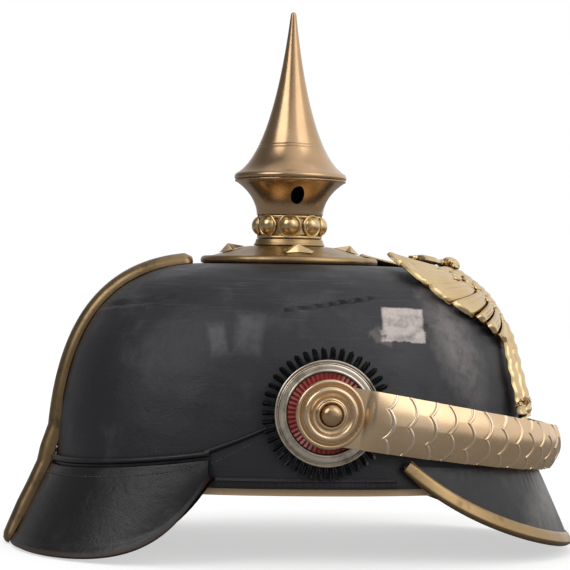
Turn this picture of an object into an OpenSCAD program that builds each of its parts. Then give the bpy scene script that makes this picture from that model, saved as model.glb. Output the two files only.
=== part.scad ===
// Spiked leather parade helmet. The front faces +X, the wearer's left is +Y, and it stands on z = 0.

/* [Leather skull] */
// Forward reach of the lower rim from the middle
skull_front = 109.8; // [95:0.1:125]
// Rearward reach of the lower rim from the middle
skull_rear = 106.7; // [95:0.1:120]
// Half of the skull's width at the rim
skull_half_width = 85.5; // [78:0.5:95]
// Squareness of the rim's plan, 2 is an ellipse
plan_power = 2.3; // [2:0.05:2.6]
// Height of the skull's lower rim
rim_z = 33; // [28:0.5:36]
// Height of the flat crown
crown_z = 128; // [120:0.5:140]
// Radius of the flat crown
crown_r = 40; // [36:0.5:44]
// Upright stretch of the profile at the front
front_rise = 76; // [40:1:84]
// Backward lean of that stretch
front_lean = 10; // [0:0.5:12]
// Reach of the shoulder at the front
front_shoulder = 91.8; // [70:0.2:95]
// Upright stretch of the profile at the rear
rear_rise = 58; // [45:1:65]
// Reach of the shoulder at the rear
rear_shoulder = 90.2; // [75:0.2:95]
// Upright stretch of the profile at the sides
side_rise = 62; // [45:1:68]
// Reach of the shoulder at the sides
side_shoulder = 66; // [58:1:74]
// Thickness of the skull's leather
leather_t = 2.6; // [2:0.1:3.5]
// Radius of the air hole in the crown
vent_r = 9; // [6:0.5:10]

/* [Visors] */
// Thickness of the visors' leather
visor_t = 2.4; // [1.8:0.1:3]
// Height of the front visor's joint at the middle
front_joint_z = 39.6; // [38:0.2:44]
// Rise of that joint towards its ends
front_joint_rise = 3.9; // [2:0.1:6]
// Half angle that the front visor spans
front_sweep = 68; // [60:0.5:70]
// Outward slope of the front visor, reach per drop
front_flare = 0.46; // [0.4:0.005:0.65]
// Height of the brass edge at its lowest
front_edge_z = 1.9; // [0:0.1:3]
// Half angle along which the front edge stays low
front_edge_flat = 1; // [0:0.5:20]
// Steepness with which the front visor rises to its ends
front_edge_power = 2.2; // [1.8:0.05:3]
// Height of the rear visor's joint at the middle
rear_joint_z = 36.9; // [35:0.2:40]
// Rise of that joint towards its ends
rear_joint_rise = 8.3; // [5:0.1:10]
// Half angle that the rear visor spans
rear_sweep = 62; // [56:0.5:66]
// Outward slope of the rear visor, reach per drop
rear_flare = 0.48; // [0.4:0.005:0.65]
// Height of the rear visor's edge at the middle
rear_edge_z = 0.4; // [0:0.1:3]
// Half angle along which the rear edge stays low
rear_edge_flat = 8.5; // [4:0.5:45]
// Steepness with which the rear visor rises to its ends
rear_edge_power = 5; // [1.8:0.1:6]
// Outward slope of both visors at their ends
end_flare = 0.1; // [0:0.01:0.3]
// Extra thickness of the rolled leather lip
lip_t = 0.7; // [0.3:0.1:1.2]

/* [Brass edges and leather strips] */
// Width of the front visor's brass edge outside
trim_w = 5.4; // [3:0.1:6.5]
// Thickness of the brass sheet
trim_t = 0.8; // [0.5:0.1:1.2]
// Width of the rear spine
spine_w = 13; // [9:0.5:16]
// Height of the rear spine above the leather
spine_h = 4.8; // [2:0.1:6]
// Height of the welt above the rear visor
welt_h = 3.8; // [2.5:0.1:5]
// Thickness of that welt
welt_t = 2.4; // [1.5:0.1:3]
// Height of the leather strip along the lower edge
band_h = 4.6; // [3:0.2:7]
// Thickness of that strip
band_t = 1.3; // [1:0.1:2]

/* [Base plate and spike] */
// Place of the spike's axis along the helmet
spike_x = -2.1; // [-4:0.1:2]
// Radius of the round base plate
plate_r = 40.5; // [38:0.5:43]
// Height of the base plate's rim
plate_rim_h = 3; // [2:0.1:6]
// Height of the base plate's dome above its rim
plate_dome_h = 5.1; // [2:0.1:7]
// Radius of the socket above the dome
socket_r = 16.3; // [14.5:0.1:18]
// Height of the socket above the dome
socket_h = 3.2; // [2.4:0.1:8]
// Radius of the threaded spigot under the spike
thread_r = 11.4; // [10:0.1:12]
// Length of that spigot
thread_l = 12; // [8:0.5:13]
// Running clearance round the spigot and the posts
run = 0.05; // [0.02:0.01:0.09]
// Height of the beaded ring
ring_h = 10.65; // [7:0.05:12]
// Radius of one bead
bead_r = 4.2; // [3:0.1:4.3]
// Count of beads
beads = 9; // [8:1:12]
// Height of the flared neck
neck_h = 16.2; // [12:0.2:22]
// Radius of the neck's lip
lip_r = 25.6; // [20:0.2:30]
// Height of the spike above the lip
spike_h = 77.2; // [60:1:95]
// Radius of the spike's rounded tip
tip_r = 1.3; // [0.8:0.1:2]
// Radius of the neck's vent holes
neck_vent_r = 3.1; // [2:0.1:4]
// Radius of the star studs
star_r = 6.9; // [5:0.1:8]
// Distance of the star studs from the spike's axis
star_place = 27.6; // [26:0.2:29]

/* [Chin scales] */
// Place of the rosettes along the helmet
hinge_x = 3; // [-4:0.2:8]
// Height of the rosettes
hinge_z = 65.2; // [63:0.2:70]
// Angle by which the joined scales hang below level
droop = 8.8; // [4:0.2:10]
// Gap between the skull's front and the scales' inner face
hoop_gap = 8.6; // [6:0.1:14]
// Squareness of the scales' plan, 2 is an ellipse
hoop_power = 2.15; // [2:0.05:2.5]
// Gap between the silver rings and the straps
strap_gap = 1.7; // [0.8:0.1:4]
// Height of the band at the rosette
band_wide = 25.8; // [22:0.2:28]
// Height of the band at the front
band_narrow = 17.8; // [16:0.2:22]
// Bulge of each scale across the band
bulge = 3.4; // [2:0.1:5]
// Thickness of one brass scale
scale_t = 0.5; // [0.4:0.05:0.8]
// Depth of a scale's rounded lobes
lobe = 4; // [1:0.1:5]
// Count of scales on each side
scales = 15; // [10:1:18]
// Thickness of the leather strap behind the scales
strap_t = 1.4; // [1:0.1:1.8]
// Width of that strap
strap_w = 14; // [11:0.5:16]

/* [Rosettes and cockades] */
// Radius of a rosette
rosette_r = 14.7; // [13:0.1:16]
// Height of a rosette
rosette_h = 6; // [5:0.1:9]
// Radius of a rosette post
post_r = 3; // [2:0.1:3.6]
// Radius of the post's domed head
head_r = 4.7; // [4:0.1:5.5]
// Radius of the toothed outer cockade
cockade_r = 28.3; // [26:0.1:30]
// Count of its teeth
teeth = 42; // [30:1:54]
// Outer radius of the silver ring
silver_r = 22.6; // [20:0.1:25]
// Inner radius of the silver ring
silver_in = 17.4; // [16:0.1:19]
// Thickness of the silver ring
silver_t = 1.4; // [1:0.1:2]
// Count of folds in the inner cockade
folds = 50; // [36:1:60]

/* [Lining] */
// Thickness of the sweatband
sweat_t = 1.5; // [1:0.1:2.2]
// Distance that the sweatband shows below the rim
sweat_drop = 3.2; // [1:0.1:5]
// Count of the lining's leather tongues
tongues = 10; // [8:1:14]
// Thickness of a tongue
tongue_t = 1.1; // [0.8:0.1:1.6]

/* [Hidden] */
seat = 0.3;
fit = 0.15;
around = 64;

brass = "#c8a15c";
gilt = "#d8bc7c";
tombak = "#c08a5c";
black_leather = "#2b2a2b";
tan_leather = "#a98b64";
silver = "#a9a49a";

// Point on a cubic curve through four given points
function curve(p, u) = pow(1 - u, 3) * p[0] + 3 * pow(1 - u, 2) * u * p[1]
    + 3 * (1 - u) * u * u * p[2] + pow(u, 3) * p[3];
function unit(v) = v / norm(v);
function clamp(x) = max(0, min(1, x));
function mean(points) = [for (p = points) 1] * points / len(points);
function square_of(x) = x * x;

// Radius of the superellipse with the given half axes, in a given direction
function oval(a, reach, half, power) = pow(
    pow(abs(cos(a)) / reach, power) + pow(abs(sin(a)) / half, power), -1 / power);
function rim(a) = oval(a, cos(a) > 0 ? skull_front : skull_rear, skull_half_width, plan_power)
    * [cos(a), sin(a)];
function rim_out(a) = let (d = rim(a + 0.2) - rim(a - 0.2)) unit([d.y, -d.x]);

// The skull's outer face: a is the direction round the head, t runs from the rim to the crown
function front_share(a) = square_of(max(0, cos(a)));
function rear_share(a) = square_of(max(0, -cos(a)));
function side_share(a) = square_of(sin(a));
function rise(a) = front_rise * front_share(a) + rear_rise * rear_share(a) + side_rise * side_share(a);
function shoulder(a) = front_shoulder * front_share(a) + rear_shoulder * rear_share(a)
    + side_shoulder * side_share(a);
function face(a, t) = let (r = norm(rim(a)),
    p = curve([[r, rim_z], [r - front_lean * front_share(a), rim_z + rise(a)],
        [shoulder(a), crown_z], [crown_r, crown_z]], t))
    [p.x * cos(a), p.x * sin(a), p.y];
function face_out(a, t) = unit(cross(face(a + 0.2, t) - face(a - 0.2, t),
    face(a, min(1, t + 0.002)) - face(a, max(0, t - 0.002))));
function skin(a, t, off) = face(a, t) + off * face_out(a, t);

// Closed solid between two grids of points; its faces are turned outward whichever way the grids run
module slab(low, high) {
    rows = len(low);
    cols = len(low[0]);
    top = rows * cols;
    i0 = floor((rows - 1) / 2);
    j0 = floor((cols - 1) / 2);
    up = cross(low[i0 + 1][j0] - low[i0][j0], low[i0][j0 + 1] - low[i0][j0]) * (high[i0][j0] - low[i0][j0]);
    faces = concat(
        [for (i = [0:rows - 2], j = [0:cols - 2]) each
            let (a = i * cols + j, b = a + 1, c = b + cols, d = a + cols)
            [[a, c, b], [a, d, c], [top + a, top + b, top + c], [top + a, top + c, top + d]]],
        [for (i = [0:rows - 2], s = [0, 1]) each let (a = i * cols + s * (cols - 1), b = a + cols)
            s == 0 ? [[a, top + a, top + b], [a, top + b, b]] : [[a, top + b, top + a], [a, b, top + b]]],
        [for (j = [0:cols - 2], s = [0, 1]) each let (a = s * (rows - 1) * cols + j, b = a + 1)
            s == 0 ? [[a, top + b, top + a], [a, b, top + b]] : [[a, top + a, top + b], [a, top + b, b]]]);
    turned = [for (f = faces) up > 0 ? f : [f[0], f[2], f[1]]];
    polyhedron([for (r = concat(low, high)) each r], turned, convexity = 8);
}

// Closed solid through a row of equal sections, as a ring when its ends meet
module loft(rows, ring = false) {
    n = len(rows[0]);
    m = len(rows);
    c = mean(rows[0]);
    turn = [for (j = [0:n - 1]) 1] * [for (j = [0:n - 1]) cross(rows[0][j] - c, rows[0][(j + 1) % n] - c)]
        * (mean(rows[1]) - c);
    sides = [for (i = [0:ring ? m - 1 : m - 2], j = [0:n - 1]) each
        let (a = i * n + j, b = i * n + (j + 1) % n, k = ((i + 1) % m) * n, d = k + j, e = k + (j + 1) % n)
        [[a, e, b], [a, d, e]]];
    ends = ring ? [] : [[for (j = [0:n - 1]) j], [for (j = [n - 1:-1:0]) (m - 1) * n + j]];
    faces = concat(sides, ends);
    turned = [for (f = faces) turn > 0 ? f : [for (k = [len(f) - 1:-1:0]) f[k]]];
    polyhedron([for (r = rows) each r], turned, convexity = 8);
}

module both_sides() {
    children();
    mirror([0, 1, 0]) children();
}

// Turns a piece drawn upright so that its axis is the rosettes' own, pointing out on the wearer's right
module on_hinge() {
    translate([hinge_x, 0, hinge_z]) rotate([90, 0, 0]) children();
}
module on_spike() {
    translate([spike_x, 0, crown_z]) children();
}
module tube(r, bore, h) {
    difference() {
        cylinder(r = r, h = h, $fn = 96);
        translate([0, 0, -1]) cylinder(r = bore, h = h + 2, $fn = 96);
    }
}
module hex_nut(r, bore, h) {
    difference() {
        cylinder(r = r, h = h, $fn = 6);
        translate([0, 0, -1]) cylinder(r = bore, h = h + 2, $fn = 48);
    }
}

// Leather skull
star_screw_r = 1.4;
plate_screw_r = 1.6;
plate_post_a = 13;
plate_post_t = 0.335;
module star_places() {
    on_spike() for (k = [0:3]) rotate(90 * k) translate([star_place, 0, 0]) children();
}
module plate_post_places() {
    n = face_out(plate_post_a, plate_post_t);
    both_sides() translate(face(plate_post_a, plate_post_t))
        rotate([0, acos(n.z), atan2(n.y, n.x)]) children();
}
skull_steps = [0, 0.08, 0.17, 0.27, 0.38, 0.48, 0.58, 0.68, 0.78, 0.88, 1];
module skull() {
    color(black_leather) difference() {
        loft([for (k = [0:around - 1]) let (a = 360 * k / around) concat(
            [for (t = skull_steps) skin(a, t, 0)],
            [[vent_r * cos(a), vent_r * sin(a), crown_z],
                [vent_r * cos(a), vent_r * sin(a), crown_z - leather_t]],
            [for (i = [len(skull_steps) - 1:-1:0]) skin(a, skull_steps[i], -leather_t)])], ring = true);
        star_places() translate([0, 0, -9]) cylinder(r = star_screw_r + 0.2, h = 18, $fn = 32);
        plate_post_places() cylinder(r = plate_screw_r + 0.2, h = 4 * leather_t, center = true, $fn = 32);
        both_sides() on_hinge() cylinder(r = post_r + 0.2, h = 1.25 * skull_half_width, $fn = 48);
    }
}

// Visors: s is 0 in front and 180 behind, f the angle from there, d runs from the joint to the edge
function is_front(s) = s == 0;
function sweep_of(s) = is_front(s) ? front_sweep : rear_sweep;
function end_part(s, f) = clamp(abs(f) / sweep_of(s));
function joint_z(s, f) = is_front(s) ? front_joint_z + front_joint_rise * square_of(end_part(s, f))
    : rear_joint_z + rear_joint_rise * square_of(end_part(s, f));
function low_z(s, f) = is_front(s) ? front_edge_z + trim_t + fit
    : rear_edge_z * (1 - clamp(abs(f) / rear_edge_flat));
function edge_flat(s) = is_front(s) ? front_edge_flat : rear_edge_flat;
function edge_power(s) = is_front(s) ? front_edge_power : rear_edge_power;
function edge_z(s, f) = low_z(s, f) + (joint_z(s, f) - low_z(s, f))
    * pow(clamp((abs(f) - edge_flat(s)) / (sweep_of(s) - edge_flat(s))), edge_power(s));
function flare(s, f) = (is_front(s) ? front_flare : rear_flare) * (1 - square_of(end_part(s, f)))
    + end_flare * square_of(end_part(s, f));
function visor(s, f, d, off) = let (a = s + f, top = joint_z(s, f), z = top + (edge_z(s, f) - top) * d,
    p = rim(a) + rim_out(a) * (seat + flare(s, f) * (top - z) + off)) [p.x, p.y, z];
visor_steps = 34;
// The sweep stops short of the full angle, where the visor is still a few millimetres deep
function visor_angles(s) = [for (k = [0:visor_steps]) (sweep_of(s) - 1.6) * (2 * k / visor_steps - 1)];
module front_visor() {
    color(black_leather) loft([for (f = visor_angles(0))
        let (swell = 0.4 * (1 - square_of(end_part(0, f)))) [
        visor(0, f, 0, 0), visor(0, f, 0.5, -swell / 2), visor(0, f, 1, 0),
        visor(0, f, 1, visor_t), visor(0, f, 0.5, visor_t + swell), visor(0, f, 0, visor_t)]]);
}
module rear_visor() {
    color(black_leather) loft([for (f = visor_angles(180)) [
        visor(180, f, 0, 0), visor(180, f, 0.5, -0.2), visor(180, f, 1, -lip_t / 2),
        visor(180, f, 1, visor_t + lip_t), visor(180, f, 0.93, visor_t + lip_t), visor(180, f, 0.88, visor_t),
        visor(180, f, 0.5, visor_t + 0.4), visor(180, f, 0, visor_t)]]);
}

// Brass channel round the front visor's edge, square to the edge all along and thin where its ends tuck in
trim_in = 2.8;
trim_open = 0.3;
edge_slant = 0.5;
function edge_along(f) = unit(visor(0, f + 0.3, 1, 0) - visor(0, f - 0.3, 1, 0));
function edge_down(f) = let (v = visor(0, f, 1, 0) - visor(0, f, 0.8, 0), e = edge_along(f))
    unit(v - (v * e) * e);
module front_visor_trim() {
    half = visor_t / 2 + fit;
    function channel(inner) = [[-trim_w, half + trim_open], [0.3 - trim_w, half + trim_open + 0.5 * trim_t],
        [-0.7 * trim_w, half + 1.4 * trim_t],
        [-0.35 * trim_w, half + 1.5 * trim_t], [-0.3, half + 0.9 * trim_t],
        [trim_t + fit + edge_slant, half - 0.4], [trim_t + fit, 0.4 - half], [-0.5, -half - inner],
        [-trim_in, -half - inner], [-trim_in, -half], [fit, -half], [fit + edge_slant, half]];
    color(brass) loft([for (f = visor_angles(0))
        let (e = edge_along(f), down = edge_down(f), out = cross(e, down),
            side = out * [cos(f), sin(f), 0] > 0 ? 1 : -1, mid = visor(0, f, 1, visor_t / 2))
        [for (q = channel(trim_t * (1 - 0.8 * pow(end_part(0, f), 6))))
            mid + down * q[0] + side * out * q[1]]]);
}

// Leather welt along the top of the rear visor
module rear_visor_welt() {
    color(black_leather) loft([for (f = visor_angles(180)) let (a = 180 + f, out = rim_out(a),
        z = joint_z(180, f) + seat)
        [for (q = [[seat, 0], [welt_t, 0.2], [welt_t + 0.5, welt_h * 0.3], [welt_t, welt_h * 0.5],
            [welt_t + 0.4, welt_h * 0.75], [welt_t * 0.6, welt_h], [seat, welt_h]])
        let (p = rim(a) + out * q[0]) [p.x, p.y, z + q[1]]]]);
}

// Leather strip along the lower edge, between the visors
module rim_strip() {
    color(black_leather) both_sides() loft([for (k = [0:16])
        let (a = front_sweep + (180 - rear_sweep - front_sweep) * k / 16, out = rim_out(a))
        [for (q = [[seat, 0], [seat + band_t, 0.3], [seat + band_t, band_h - 0.5], [seat, band_h]])
            let (p = rim(a) + out * q[0]) [p.x, p.y, rim_z + q[1]]]]);
}

// Raised seam that climbs from each rear corner to the cockade
seam_low = [125, 0.097];
seam_high = [108, 0.134];
module side_seams() {
    color(black_leather) both_sides() loft([for (k = [0:8])
        let (a = seam_low[0] + (seam_high[0] - seam_low[0]) * k / 8,
            t = seam_low[1] + (seam_high[1] - seam_low[1]) * pow(k / 8, 1.2))
        [for (q = [[seat, -1.6], [seat + 1.3, -0.7], [seat + 1.3, 0.7], [seat, 1.6]])
            skin(a, t, q[0]) + [0, 0, q[1]]]]);
}

// Brass spine from the base plate down to the rear visor's edge, flatter towards its lower end
over_welt = welt_t + 1.3;
spine_path = concat(
    [for (t = [0.955, 0.9, 0.82, 0.74, 0.66, 0.57, 0.48, 0.38, 0.28, 0.19, 0.12]) skin(180, t, seat)],
    [visor(180, 0, -0.16, over_welt + rear_flare * welt_h), visor(180, 0, 0.02, over_welt),
        visor(180, 0, 0.3, visor_t + 0.9),
        visor(180, 0, 0.6, visor_t + 0.9), visor(180, 0, 0.93, visor_t + lip_t + seat),
        visor(180, 0, 0.98, visor_t + lip_t + seat), visor(180, 0, 1, visor_t + lip_t + seat)]);
module rear_spine() {
    profile = [[-spine_w / 2, 0], [-spine_w * 0.44, spine_h * 0.45], [-spine_w * 0.25, spine_h * 0.85],
        [0, spine_h], [spine_w * 0.25, spine_h * 0.85], [spine_w * 0.44, spine_h * 0.45], [spine_w / 2, 0]];
    last = len(spine_path) - 1;
    color(brass) loft([for (k = [0:last])
        let (d = spine_path[min(last, k + 1)] - spine_path[max(0, k - 1)],
            out = unit([d.z, 0, -d.x]), side = out.x < 0 || out.z > 0.5 ? 1 : -1,
            small = k == 0 ? 0.6 : k == last ? 0.55 : k == last - 1 ? 0.9 : 1,
            low = k == 0 ? 0.6 : clamp((last - k + 1.2) / 4.2))
        [for (q = profile) spine_path[k] + [0, q[0] * small, 0] + side * out * q[1] * low]]);
}

// Base plate: a domed brass sheet on the crown
plate_t = 1;
dome_in = socket_r - 2.4;
dome_out = plate_r - 2.9;
dome_foot = plate_rim_h + seat / 3;
dome_top = dome_foot + plate_dome_h;
function dome_z(r) = dome_foot + plate_dome_h * (dome_out - r) / (dome_out - 20);
star_tilt = atan(plate_dome_h / (dome_out - 20));
module base_plate() {
    color(brass) difference() {
        on_spike() rotate_extrude($fn = 96) polygon([
            [plate_r, seat / 3], [plate_r, dome_foot - 1.6], [plate_r - 0.5, dome_foot - 0.6],
            [plate_r - 1.5, dome_foot - 0.1], [dome_out, dome_foot], [20, dome_top],
            [dome_in, dome_top + 0.2], [dome_in, dome_top + 0.2 - plate_t], [20, dome_top - plate_t],
            [dome_out, dome_foot - plate_t],
            [plate_r - 1.2, dome_foot - plate_t - 1], [plate_r - plate_t, seat / 3]]);
        star_places() translate([0, 0, -1]) cylinder(r = star_screw_r + 0.2, h = dome_top + 3, $fn = 32);
    }
}
backing_r = 33;
nut_h = 2.4;
module backing_plate() {
    color(brass) difference() {
        on_spike() translate([0, 0, -leather_t - seat - plate_t]) tube(backing_r, vent_r, plate_t);
        star_places() translate([0, 0, -9]) cylinder(r = star_screw_r + 0.2, h = 18, $fn = 32);
    }
}
module star_outline() {
    polygon([for (k = [0:9]) (k % 2 == 0 ? star_r : star_r * 0.46) * [cos(36 * k), sin(36 * k)]]);
}
module star_studs() {
    foot = -leather_t - 2 * seat - plate_t - nut_h;
    color(gilt) star_places() {
        translate([0, 0, dome_z(star_place) + seat]) rotate([0, star_tilt, 0])
            linear_extrude(height = 2.6, scale = 0.14) star_outline();
        translate([0, 0, foot]) cylinder(r = star_screw_r, h = dome_z(star_place) + 1 - foot, $fn = 32);
    }
}
module star_nuts() {
    color(brass) star_places() translate([0, 0, -leather_t - 2 * seat - plate_t - nut_h])
        hex_nut(3.4, star_screw_r + 0.1, nut_h);
}

// Socket, beaded ring, neck and spike stand on one axis
socket_z = dome_top + 0.2 + fit;
ring_z = socket_z + socket_h + fit;
neck_z = ring_z + ring_h + fit;
top_z = neck_z + neck_h;
module spike_socket() {
    color(brass) on_spike() rotate_extrude($fn = 96) polygon([
        [thread_r + run, seat / 3], [dome_in - fit, seat / 3], [dome_in - fit, socket_z],
        [socket_r, socket_z], [socket_r, socket_z + 0.7], [socket_r - 0.5, socket_z + 1.3],
        [socket_r - 0.8, socket_z + socket_h - 0.6], [socket_r - 1.1, socket_z + socket_h],
        [thread_r + run, socket_z + socket_h]]);
}
ring_r = socket_r - 2.3;
bead_place = socket_r - 3.4;
module beaded_ring() {
    color(gilt) on_spike() {
        rotate_extrude($fn = 96) polygon([
            [thread_r + run, ring_z], [ring_r + 0.8, ring_z], [ring_r + 1, ring_z + 0.7],
            [ring_r + 0.4, ring_z + 1.4], [ring_r, ring_z + 1.9], [ring_r, ring_z + ring_h - 1.8],
            [ring_r + 0.5, ring_z + ring_h - 1.3], [ring_r + 0.7, ring_z + ring_h - 0.6],
            [ring_r + 0.4, ring_z + ring_h], [thread_r + run, ring_z + ring_h]]);
        difference() {
            for (k = [0:beads - 1]) rotate(360 / beads * (k + 0.5))
                translate([bead_place, 0, ring_z + 0.55 * ring_h]) sphere(r = bead_r, $fn = 32);
            cylinder(r = thread_r + 1, h = 3 * ring_h, $fn = 96);
        }
    }
}
neck_curve = [[socket_r - 1.1, 0], [socket_r - 0.9, 6], [socket_r + 2.7, 11.5], [lip_r, neck_h]];
neck_wall = 1.4;
neck_bore = thread_r - neck_wall;
module spike_neck() {
    curve_at = [for (k = [0:8]) curve(neck_curve, k / 8)];
    color(tombak) difference() {
        on_spike() rotate_extrude($fn = 96) polygon(concat(
            [[neck_bore, neck_z - thread_l], [thread_r, neck_z - thread_l], [thread_r, neck_z]],
            [for (p = curve_at) [p.x, neck_z + p.y]],
            [[lip_r - neck_wall, top_z], [curve_at[6].x - neck_wall, neck_z + curve_at[6].y],
                [curve_at[4].x - neck_wall - 0.3, neck_z + curve_at[4].y],
                [neck_bore, neck_z + curve_at[2].y]]));
        on_spike() translate([0, 0, neck_z + neck_h * 0.56]) rotate([90, 0, 0])
            cylinder(r = neck_vent_r, h = 2 * lip_r, center = true, $fn = 48);
    }
}
lip_h = 1.8;
// The flank leaves the lip at half its radius and nears the tip half way up
spike_curve = [[lip_r, lip_h], [lip_r * 0.508, lip_h + spike_h * 0.104],
    [lip_r * 0.215, lip_h + spike_h * 0.492], [tip_r, spike_h - tip_r]];
module spike() {
    color(tombak) on_spike() translate([0, 0, top_z + fit]) {
        rotate_extrude($fn = 96) polygon(concat([[0, 0], [lip_r - 0.4, 0], [lip_r, 0.4]],
            [for (k = [0:14]) curve(spike_curve, k / 14)], [[0, spike_h - tip_r]]));
        translate([0, 0, spike_h - tip_r]) sphere(r = tip_r, $fn = 32);
        translate([0, 0, -4]) cylinder(r = lip_r - 7, h = 4.5, $fn = 96);
    }
}

// Eagle plate: every part of the relief lies on the skull's own curve, a in degrees and t up the profile
wing_roots = [[11, 0.75], [10, 0.71], [9, 0.665], [8, 0.62], [7, 0.575], [6.5, 0.53], [6, 0.49], [5.5, 0.45]];
wing_notches = [[42, 0.905], [44.5, 0.823], [43.4, 0.652], [40.4, 0.548], [33.6, 0.476], [30, 0.442],
    [25.8, 0.394], [20.5, 0.345]];
// Reach of each feather's rounded end beyond the line between its notches
wing_ends = [[1.8, 0.02], [5.6, 0.01], [3.8, 0.005], [3, 0], [1.4, 0], [2, -0.003], [1.8, 0]];
feathers = 7;
feather_steps = 6;
function along(list, v) = let (i = min(len(list) - 2, floor(v)), u = v - i)
    list[i] * (1 - u) + list[i + 1] * u;
function feather(v) = abs(sin(180 * v));
function wing_edge(v) = along(wing_notches, v)
    + wing_ends[min(feathers - 1, floor(v))] * pow(feather(v), 0.6);
function wing_at(v, u) = along(wing_roots, v) * (1 - u) + wing_edge(v) * u;
// Every feather lies a little over the next one below it
// The plate is bent less than the crown, so the upper feathers stand off it
wing_lift = 2.6;
function wing_low(v, u) = plate_off + wing_lift * clamp(1 - v / 2) * u * u;
function wing_h(v, u) = wing_low(v, u) - plate_off + 2.1
    + (0.6 + 1.1 * u) * pow(feather(v), 0.7) * (u > 0.96 ? 0.45 : 1) + 0.9 * u * (1 - (v - floor(v)));
body_outline = [[0.36, 6, 3.4], [0.41, 10, 4.4], [0.47, 13, 5], [0.54, 13, 5.2], [0.60, 10, 5],
    [0.66, 7.5, 5], [0.70, 6.5, 5.4], [0.745, 6, 6], [0.785, 3.5, 6.2]];
tail_outline = [[0.40, 5], [0.34, 8], [0.28, 11], [0.22, 14.5], [0.17, 17], [0.145, 17.5]];
plate_off = 0.7;
function plate_gap(t) = plate_off + 2.2 * pow(clamp((0.42 - t) / 0.26), 1.2);
function side_at(t, y) = asin(y / face(0, t).x);
module wing() {
    vs = [for (k = [0:feathers * feather_steps]) k / feather_steps];
    us = [0, 0.3, 0.6, 0.85, 0.96, 1];
    slab([for (v = vs) [for (u = us) let (q = wing_at(v, u)) skin(q[0], q[1], wing_low(v, u))]],
        [for (v = vs) [for (u = us) let (q = wing_at(v, u)) skin(q[0], q[1], wing_h(v, u))]]);
}
module ridge(outline) {
    ws = [-1, -0.6, 0, 0.6, 1];
    slab([for (s = outline) [for (w = ws) skin(side_at(s[0], w * s[1]), s[0], plate_gap(s[0]))]],
        [for (s = outline) [for (w = ws)
            skin(side_at(s[0], w * s[1]), s[0],
                plate_gap(s[0]) + 0.9 + (s[2] - plate_gap(s[0]) - 0.9) * (1 - w * w))]]);
}
module tail() {
    ws = [for (k = [-8:8]) k / 8];
    slab([for (s = tail_outline) [for (w = ws) skin(side_at(s[0], w * s[1]), s[0], plate_gap(s[0]))]],
        [for (s = tail_outline) [for (w = ws)
            skin(side_at(s[0], w * s[1]), s[0],
                plate_gap(s[0]) + 0.9 + 0.9 * abs(cos(180 * 3.5 * w)))]]);
}
crown_outline = [[0.765, 4, 1], [0.80, 7.5, 2], [0.84, 9, 2.4], [0.87, 6, 1.8], [0.90, 1.6, 1]];
crown_off = 3.6;
module crown() {
    ws = [-1, -0.5, 0, 0.5, 1];
    slab([for (s = crown_outline) [for (w = ws) skin(side_at(s[0], w * s[1]), s[0], crown_off)]],
        [for (s = crown_outline) [for (w = ws)
            skin(side_at(s[0], w * s[1]), s[0], crown_off + 1 + s[2] * (1 - w * w))]]);
}
// A raised bar along places on the skull: direction, height up the profile, half width, ridge height
module bar(places) {
    ws = [-1, -0.4, 0.4, 1];
    slab([for (q = places) [for (w = ws) skin(q[0] + w * q[2] * 0.6, q[1], plate_gap(q[1]) + 0.1)]],
        [for (q = places) [for (w = ws)
            skin(q[0] + w * q[2] * 0.6, q[1], plate_gap(q[1]) + (abs(w) < 0.5 ? q[3] : 1.1))]]);
}
leg_places = [[6, 0.46, 4, 3.4], [9.5, 0.39, 4.4, 3.6], [13, 0.335, 3.4, 3], [16.5, 0.27, 2.4, 2.6],
    [19, 0.20, 2.6, 3], [20, 0.165, 3.6, 3.6], [20.5, 0.14, 3, 2.4]];
staff_places = [[20.6, 0.4, 2.2, 2.4], [23.6, 0.325, 2.6, 2.8], [25.4, 0.266, 2.4, 2.6],
    [26.2, 0.20, 2.2, 2.4], [26, 0.155, 3.2, 3], [25.6, 0.135, 2.4, 2]];
// The foot closes over the staff
foot_places = [[17.4, 0.185, 1.4, 2.6], [20.6, 0.18, 1.8, 4.2], [24.6, 0.178, 1.8, 4.4],
    [27.6, 0.176, 1.2, 2.4]];
module eagle_plate() {
    color(gilt) {
        both_sides() {
            wing();
            bar(leg_places);
            bar(staff_places);
            bar(foot_places);
        }
        ridge(body_outline);
        tail();
        crown();
    }
}
plate_nut_foot = leather_t + 2 * seat + nut_h;
module plate_posts() {
    foot = -plate_nut_foot - 1;
    color(brass) plate_post_places() translate([0, 0, foot])
        cylinder(r = plate_screw_r, h = plate_gap(plate_post_t) - fit - foot, $fn = 32);
}
module plate_nuts() {
    color(brass) plate_post_places() translate([0, 0, -plate_nut_foot])
        hex_nut(3.4, plate_screw_r + 0.1, nut_h);
}

// Rosette posts pass through the wall, and everything at the side is threaded on them
wall_y = face(90, 0.19).y;
cockade_y = skull_half_width + seat + band_t + fit;
cockade_t = 0.7;
shoulder_r = post_r + 1.8;
hoop_half = cockade_y + cockade_t + fit + silver_t + strap_gap;
hoop_reach = skull_front + hoop_gap - hinge_x;
strap_y = hoop_half;
plate_y = strap_y + strap_t + fit;
rosette_y = plate_y + 1 + fit;
head_y = rosette_y + rosette_h + fit;
post_nut_h = 3;
washer_t = 1;
washer_r = 9;
nut_y = wall_y - leather_t - washer_t - post_nut_h - 2;
module post() {
    on_hinge() rotate_extrude($fn = 64) polygon(concat(
        [[0, nut_y - 1], [post_r, nut_y - 1], [post_r, wall_y + 3 * seat], [shoulder_r, wall_y + 4 * seat],
            [shoulder_r, strap_y - fit], [post_r, strap_y - fit], [post_r, head_y], [head_r, head_y]],
        [for (k = [1:5]) [head_r * cos(15 * k), head_y + head_r * 0.5 * sin(15 * k)]],
        [[0, head_y + head_r * 0.5]]));
}
module right_post() { color(brass) post(); }
module left_post() { color(brass) mirror([0, 1, 0]) post(); }
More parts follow.
